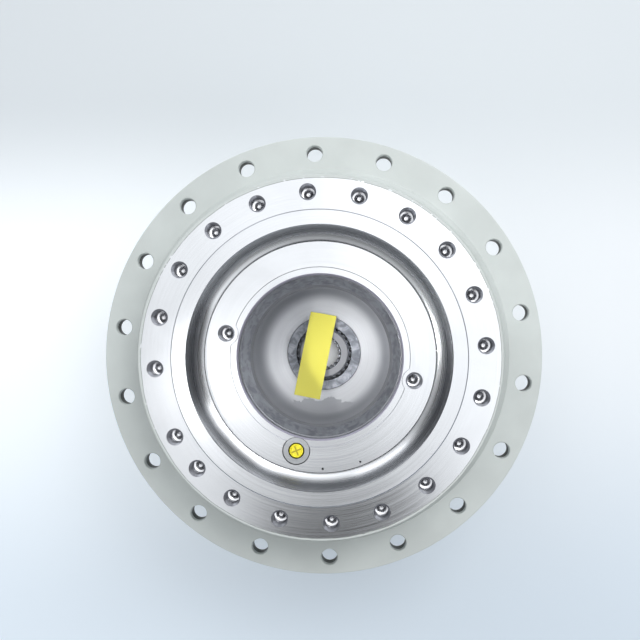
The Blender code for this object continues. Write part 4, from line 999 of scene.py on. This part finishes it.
def ring_gear_teeth(flank_steps=5):
    """Outline of the inner teeth with involute flanks."""
    pitch = GEAR_MODULE * RING_TEETH / 2
    base = pitch * math.cos(PRESSURE_ANGLE)
    tip = pitch - ADDENDUM_SHARE * GEAR_MODULE
    root = pitch + GEAR_MODULE
    flank = []
    for step in range(flank_steps + 1):
        radius = root + (tip - root) * step / flank_steps
        here = math.acos(min(1.0, base / radius))
        lean = math.tan(PRESSURE_ANGLE) - PRESSURE_ANGLE - math.tan(here) + here
        flank.append((radius, math.pi / (2 * RING_TEETH) - TOOTH_THINNING / pitch - lean))
    tooth = flank + [(radius, -half) for radius, half in reversed(flank)]
    points = []
    for number in range(RING_TEETH):
        middle = math.tau * number / RING_TEETH
        for radius, half in tooth:
            points.append((radius * math.cos(middle - half), radius * math.sin(middle - half)))
    return points


def make_ring_gear():
    """The common toothed ring: a painted wall with bevelled edges, bolt holes and the inner teeth."""
    shape = bmesh.new()
    low, high = GEAR_LOW.z, GEAR_HIGH.z
    bevelled = BARREL_RADIUS - BARREL_EDGE
    wall = [
        add_ring(shape, bevelled, low, SEGMENTS),
        add_ring(shape, BARREL_RADIUS, low + BARREL_EDGE, SEGMENTS),
        add_ring(shape, BARREL_RADIUS, high - BARREL_EDGE, SEGMENTS),
        add_ring(shape, bevelled, high, SEGMENTS),
    ]
    for ring, following in zip(wall, wall[1:]):
        add_band(shape, ring, following, COAT)
    lower, upper = [wall[0]], [wall[-1]]
    loops = [ring_gear_teeth()]
    circle = [polar(COVER_BOLT_HOLE, 360 * step / BOLT_HOLE_SEGMENTS) for step in range(BOLT_HOLE_SEGMENTS)]
    for centre_x, centre_y in cover_bolt_centres():
        loops.append([(centre_x + x, centre_y + y) for x, y in circle])
    for loop in loops:
        foot, top = raise_loop(shape, loop, low, high, BARE)
        lower.append(foot)
        upper.append(top)
    fill_flat(shape, lower, BARE)
    fill_flat(shape, upper, BARE)
    dress(finish_mesh("ring_gear_body", shape), ("paint", "gear"), "hub", "gear_steel", "ring_gear")


def make_cover():
    """The cover: a dished boss, a lower rim for the bolts and the holes of the two plugs."""
    corners = [
        (0, COVER_DISH_DEPTH),
        (COVER_DISH_FLOOR, COVER_DISH_DEPTH, COVER_FOOT_EDGE),
        (COVER_DISH_RADIUS, COVER_FOOT, COVER_DISH_EDGE, COAT, "boss"),
        (COVER_BOSS_FOOT_RADIUS, COVER_FOOT, COVER_FOOT_EDGE),
        (COVER_BOSS_RADIUS, COVER_BOSS_SLANT, BARREL_EDGE),
        (COVER_BOSS_RADIUS, COVER_RIM, COVER_FILLET, COAT, "rim"),
        (BARREL_RADIUS, COVER_RIM, COVER_FOOT_EDGE),
        (BARREL_RADIUS, COVER_HIGH.z, BARREL_EDGE, BARE, "joint"),
        (COVER_HOLLOW_RADIUS, COVER_HIGH.z, 0, BARE),
        (COVER_HOLLOW_RADIUS, COVER_HOLLOW_FLOOR, 0, BARE, "inside"),
        (0, COVER_HOLLOW_FLOOR, 0, BARE),
    ]
    bolt_rings = [
        (COVER_BOLT_HOLE + COVER_HOLE_CHAMFER, COVER_RIM, COAT),
        (COVER_BOLT_HOLE, COVER_RIM + COVER_HOLE_CHAMFER, BARE),
        (COVER_BOLT_HOLE, COVER_HIGH.z, BARE),
    ]
    seat_radius = PLUG_HEAD_RADIUS + RUNNING_GAP
    bore_radius = PLUG_RADIUS + RUNNING_GAP
    plug_rings = [
        (seat_radius + PLUG_SEAT_EDGE, COVER_FOOT, COAT),
        (seat_radius, PLUG_SEAT_EDGE, BARE),
        (seat_radius, PLUG_SEAT, BARE),
        (bore_radius, PLUG_SEAT, BARE),
        (bore_radius, COVER_HOLLOW_FLOOR, BARE),
    ]
    holes = [Hole(centre, bolt_rings, "rim", "joint", BOLT_HOLE_SEGMENTS) for centre in cover_bolt_centres()]
    for angle in COVER_PLUG_ANGLES.values():
        holes.append(Hole(polar(COVER_PLUG_CIRCLE, angle), plug_rings, "boss", "inside"))
    dress(turned("cover_body", corners, holes), ("paint", "machined"), "hub", "grey_paint", "cover")


def hexagon(radius, limit=math.inf):
    """The radius at each angle of a hexagon with this corner radius, its corners turned down to the limit."""
    def reach(angle):
        return min(limit, radius * math.cos(math.pi / 6) / math.cos(angle % (math.pi / 3) - math.pi / 6))
    return reach


def make_cover_bolts():
    foot, seat, end = BOLT_LOW.z, BOLT_LOW.z + BOLT_HEAD_HEIGHT, BOLT_HIGH.z
    head = hexagon(BOLT_HEAD_RADIUS)
    crown = hexagon(BOLT_HEAD_RADIUS, BOLT_CHAMFER_RADIUS)
    corners = [
        (0, foot),
        (BOLT_CROWN_RADIUS, foot),
        (BOLT_CHAMFER_RADIUS, foot + BOLT_CROWN_RISE, 0, 0, None, crown),
        (BOLT_HEAD_RADIUS, foot + BOLT_CHAMFER_RISE, 0, 0, None, head),
        (BOLT_HEAD_RADIUS, seat - BOLT_WASHER_RISE - BOLT_WASHER_STEP, 0, 0, None, head),
        (BOLT_WASHER_RADIUS + BOLT_WASHER_SLANT, seat - BOLT_WASHER_RISE),
        (BOLT_WASHER_RADIUS, seat),
        (BOLT_NECK_RADIUS, seat),
        (BOLT_RADIUS, seat + SMALL_EDGE),
        (BOLT_RADIUS, end - BOLT_END_CHAMFER),
        (BOLT_RADIUS - BOLT_END_CHAMFER, end),
        (0, end),
    ]
    for number, centre in enumerate(cover_bolt_centres(), start=1):
        name = "cover_bolt_%02d" % number
        bolt = turned(name + "_body", corners, segments=SMALL_SEGMENTS, centre=centre, sharp=SHARP_SMALL)
        dress(bolt, ("zinc",), "hub", "zinc_steel", name)


def make_cover_plugs():
    foot = PLUG_LOW.z
    socket = hexagon(PLUG_SOCKET_RADIUS)
    corners = [
        (0, foot + PLUG_SOCKET_DEPTH),
        (PLUG_SOCKET_RADIUS, foot + PLUG_SOCKET_DEPTH, 0, 0, None, socket),
        (PLUG_SOCKET_RADIUS, foot + PLUG_SOCKET_EDGE, 0, 0, None, socket),
        (PLUG_SOCKET_MOUTH, foot),
        (PLUG_HEAD_RADIUS - PLUG_HEAD_EDGE, foot),
        (PLUG_HEAD_RADIUS, foot + PLUG_HEAD_EDGE),
        (PLUG_HEAD_RADIUS, PLUG_HEAD_TOP),
        (PLUG_RADIUS, PLUG_HEAD_TOP),
        (PLUG_RADIUS, PLUG_HIGH.z),
        (0, PLUG_HIGH.z),
    ]
    for name, angle in COVER_PLUG_ANGLES.items():
        centre = polar(COVER_PLUG_CIRCLE, angle)
        plug = turned(name + "_body", corners, segments=SMALL_SEGMENTS, centre=centre, sharp=SHARP_SMALL)
        dress(plug, ("zinc",), "hub", "zinc_steel", name)


# What shows in the bowl

def make_guide_plate():
    corners = [
        (GUIDE_BORE, GUIDE_LOW.z),
        (GUIDE_RADIUS, GUIDE_LOW.z),
        (GUIDE_RADIUS, GUIDE_HIGH.z, SMALL_EDGE),
        (GUIDE_BORE, GUIDE_HIGH.z, GUIDE_INNER_EDGE),
    ]
    dress(turned("guide_disc_body", corners), ("disc",), "spindle", "dark_steel", "guide_plate")


def make_sleeve():
    """The coupling sleeve: toothed outside and in its bore, with a plain collar at its upper end."""
    teeth = toothed(SLEEVE_TEETH, SLEEVE_ROOT_RADIUS, SLEEVE_TOOTH_RADIUS, SLEEVE_TOOTH_SHARE)
    socket = toothed(INPUT_TEETH, INPUT_SPLINE_TIP, INPUT_SPLINE_RADIUS)
    low, high = SLEEVE_LOW.z, SLEEVE_HIGH.z
    steel, dark = 0, 1
    corners = [
        (INPUT_SPLINE_RADIUS, low, 0, steel, None, socket),
        (SLEEVE_TOOTH_RADIUS, low, 0, steel, None, teeth),
        (SLEEVE_TOOTH_RADIUS, SLEEVE_COLLAR_FOOT - SLEEVE_STEP, 0, dark, None, teeth),
        (SLEEVE_COLLAR_RADIUS + SLEEVE_COLLAR_FLARE, SLEEVE_COLLAR_FOOT, 0, dark),
        (SLEEVE_COLLAR_RADIUS, SLEEVE_COLLAR_FOOT + SLEEVE_STEP, 0, dark),
        (SLEEVE_COLLAR_RADIUS, high - SLEEVE_EDGE, 0, steel),
        (SLEEVE_COLLAR_RADIUS - SLEEVE_EDGE, high, 0, steel),
        (SLEEVE_FACE_BORE, high, 0, dark),
        (INPUT_SPLINE_RADIUS + SLEEVE_STEP, high - SLEEVE_MOUTH_DEPTH, 0, dark),
        (INPUT_SPLINE_RADIUS, high - SLEEVE_SPLINE_DEPTH, 0, dark, None, socket),
    ]
    sleeve = turned("coupling_sleeve_body", corners, segments=SLEEVE_SEGMENTS)
    dress(sleeve, ("sleeve", "dark_gear"), "input_shaft", "dark_steel", "coupling_sleeve")


def make_port_plug():
    """The yellow plug: a shallow cup in the port, with a moulded cross in it."""
    centre = polar(MOTOR_TAP_CIRCLE, PORT_ANGLE)
    corners = [(radius, PORT_PLUG_TOP - depth) for radius, depth in PORT_PLUG_OUTLINE]
    plug = turned("port_plug_body", corners, segments=SMALL_SEGMENTS, centre=centre)
    half, arm = CROSS_HALF_WIDTH, CROSS_ARM
    cross = []
    for quarter in range(4):
        turn = math.radians(CROSS_ANGLE + 90 * quarter)
        for along, across in ((half, -half), (arm, -half), (arm, half)):
            x = along * math.cos(turn) - across * math.sin(turn)
            y = along * math.sin(turn) + across * math.cos(turn)
            cross.append((centre[0] + x, centre[1] + y))
    shape = bmesh.new()
    for edge in raise_loop(shape, cross, CROSS_FOOT, CROSS_TOP, 0):
        fill_flat(shape, [edge], 0)
    ribs = finish_mesh("port_plug_ribs", shape)
    dress(plug, ("yellow",), "spindle", "yellow_plug", "port_plug")
    # The cross takes a darker yellow: painted shade
    dress(ribs, ("yellow_painted_shade",), "spindle", "yellow_plug")


def tag_sheet(shape, lift):
    """Rows of points over the tag's slightly waved face, raised by the lift."""
    rows = []
    for row in range(TAG_ROWS + 1):
        v = row / TAG_ROWS
        line = []
        for column in range(TAG_COLUMNS + 1):
            u = column / TAG_COLUMNS
            spot = TAG_TOP[0].lerp(TAG_TOP[1], u).lerp(TAG_FOOT[0].lerp(TAG_FOOT[1], u), v)
            wave = TAG_BOW * math.sin(math.pi * v) + TAG_TWIST * math.sin(math.tau * (u + v))
            line.append(shape.verts.new(spot + Vector((0, 0, wave + lift))))
        rows.append(line)
    return rows


def make_tag():
    """The bare yellow tag that lies across the coupling, its ends resting on the bowl."""
    shape = bmesh.new()
    sheets = [tag_sheet(shape, 0.0), tag_sheet(shape, TAG_THICKNESS)]
    rims = []
    for sheet in sheets:
        for line, following in zip(sheet, sheet[1:]):
            for step in range(TAG_COLUMNS):
                shape.faces.new([line[step], line[step + 1], following[step + 1], following[step]])
        right = [line[-1] for line in sheet[1:]]
        left = [line[0] for line in sheet[-2:0:-1]]
        rims.append(sheet[0] + right + sheet[-1][-2::-1] + left)
    add_band(shape, *rims, 0)
    tag = dress(finish_mesh("bare_tag", shape), ("tag",), "spindle", "yellow_plug")
    tag.visible_diffuse = False
    tag.visible_glossy = False


def finish_inner_nodes():
    """Give each node that keeps its own shape the finish of its kind."""
    for name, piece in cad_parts.items():
        for word, finish in INNER_FINISHES.items():
            if word in name:
                piece.data.materials.clear()
                piece.data.materials.append(MATERIALS[finish])
                break


# The stage

def make_floor():
    """The pale ground, darker towards -Y and towards far +Y by painted shade, with a faint glow, painted
    light that lifts the shade beside the object, which fades to the right and towards +Y.
    """
    mesh = bpy.data.meshes.new("floor")
    corners = [(x * FLOOR_HALF, y * FLOOR_HALF, 0) for x, y in ((-1, -1), (1, -1), (1, 1), (-1, 1))]
    mesh.from_pydata(corners, [], [(0, 1, 2, 3)])
    floor = add_object("floor", mesh)
    material, tree, shader = new_material("floor", (0.80, 0.84, 0.88), 0.0, 0.7)
    x, y, _, _ = place(tree)
    # Painted shade: the ground darkens towards -Y and towards far +Y
    painted_shade_low = spread(tree, y, 0.0, 1.0, -0.50, 0.10)
    painted_shade_high = spread(tree, y, 0.0, 1.0, 0.15, 0.45)
    base = blend(tree, painted_shade_low, (0.68, 0.76, 0.84), (0.84, 0.87, 0.90))
    set_colour(tree, shader, blend(tree, painted_shade_high, base, (0.70, 0.74, 0.77)))
    # Painted light: a glow that lifts the shade beside the object, strongest to the left
    shader.inputs["Emission Color"].default_value = (*FLOOR_GLOW, 1)
    left = spread(tree, x, 0.22, 0.0, -0.35, 0.40)
    glow = times(tree, left, minus(tree, 1.0, painted_shade_high))
    foot = spread(tree, y, 0.5, 1.0, -0.50, -0.10)
    feed(tree, shader.inputs["Emission Strength"], times(tree, glow, foot))
    mesh.materials.append(material)


def make_camera():
    """The photograph's view, fitted to its circles: almost down the drive axis from 1.2 m over the flange."""
    data = bpy.data.cameras.new("camera")
    data.lens = CAMERA_LENS
    data.sensor_width = CAMERA_SENSOR
    camera = add_object("camera", data)
    backward = Vector(CAMERA_BACKWARD).normalized()
    right = Vector(CAMERA_SIDE).cross(backward).normalized()
    up = backward.cross(right)
    rotation = Matrix((right, up, backward)).transposed().to_4x4()
    camera.matrix_world = Matrix.Translation(CAMERA_PLACE) @ rotation
    bpy.context.scene.camera = camera


def hang(name, data, spot, target):
    """Place a lamp so that it points at its target."""
    lamp = add_object(name, data)
    lamp.location = spot
    lamp.rotation_euler = (Vector(target) - Vector(spot)).to_track_quat("-Z", "Y").to_euler()


def sky_light(tree, x, y, z):
    """The sky's brightness: darker at the horizon, brighter towards +X and +Y, with a dark patch."""
    horizon = spread(tree, y, 0.27, 0.55, 0.25, 0.60)
    lean = plus(tree, times(tree, x, SKY_LEAN[0]), times(tree, y, SKY_LEAN[1]))
    height = spread(tree, z, 0.0, 1.0, 0.30, 0.86)
    upper = times(tree, height, plus(tree, SKY_LEVEL, lean))
    lower = times(tree, minus(tree, 1.0, height), horizon)
    light = plus(tree, upper, lower)
    squares = []
    for socket, centre, size in zip((x, y), DARK_PATCH_CENTRE, DARK_PATCH_SIZE):
        away = times(tree, minus(tree, socket, centre), 1 / size)
        squares.append(times(tree, away, away))
    patch = spread(tree, plus(tree, *squares), 0.02, 1.0, 0.62, 1.9)
    light = times(tree, light, patch)
    return times(tree, light, spread(tree, y, 0.62, 1.0, -0.65, -0.42))


def make_world():
    """A bright studio sky with the dark panels and strip lights that the polished cove mirrors."""
    world = bpy.data.worlds.new("studio")
    bpy.context.scene.world = world
    world.use_nodes = True
    tree = world.node_tree
    x, y, z = add_node(tree, "SeparateXYZ", add_node(tree, "TexCoord").outputs["Generated"]).outputs
    light = sky_light(tree, x, y, z)
    azimuth = times(tree, calc(tree, "ARCTAN2", y, x), 180 / math.pi)
    above = spread(tree, z, 0.0, 1.0, 0.80, 0.92)
    for centre, half, level in DARK_PANELS:
        away = calc(tree, "ABSOLUTE", minus(tree, azimuth, centre))
        panel = spread(tree, away, level, 1.0, half, half + PANEL_EDGE)
        light = times(tree, light, calc(tree, "MAXIMUM", panel, above))
    low = spread(tree, z, 1.0, 0.0, 0.55, 0.80)
    for centre, half in STRIP_LIGHTS:
        away = calc(tree, "ABSOLUTE", minus(tree, azimuth, centre))
        strip = times(tree, spread(tree, away, 1.0, 0.0, half, half + STRIP_EDGE), low)
        light = calc(tree, "MAXIMUM", light, times(tree, strip, STRIP_STRENGTH))
    background = tree.nodes["Background"]
    background.inputs["Color"].default_value = (*SKY_COLOUR, 1)
    feed(tree, background.inputs["Strength"], times(tree, light, SKY_STRENGTH))


def make_light():
    make_world()
    for name, (spot, power) in BOWL_LAMPS.items():
        data = bpy.data.lights.new(name, "SPOT")
        data.spot_size = BOWL_LAMP_ANGLE
        data.spot_blend = 0.8
        data.shadow_soft_size = BOWL_LAMP_RADIUS
        data.energy = power
        hang(name, data, spot, BOWL_LAMP_TARGET)
    data = bpy.data.lights.new("key", "AREA")
    data.shape = "RECTANGLE"
    data.size = KEY_SIZE
    data.size_y = KEY_SIZE
    data.energy = KEY_POWER
    data.color = KEY_COLOUR
    hang("key", data, KEY_PLACE, KEY_TARGET)


make_camera()
make_light()
make_floor()
make_spindle()
make_hub()
make_ring_gear()
make_cover()
make_cover_bolts()
make_cover_plugs()
make_guide_plate()
make_sleeve()
make_port_plug()
make_tag()
finish_inner_nodes()
bpy.context.scene.view_settings.view_transform = "Standard"
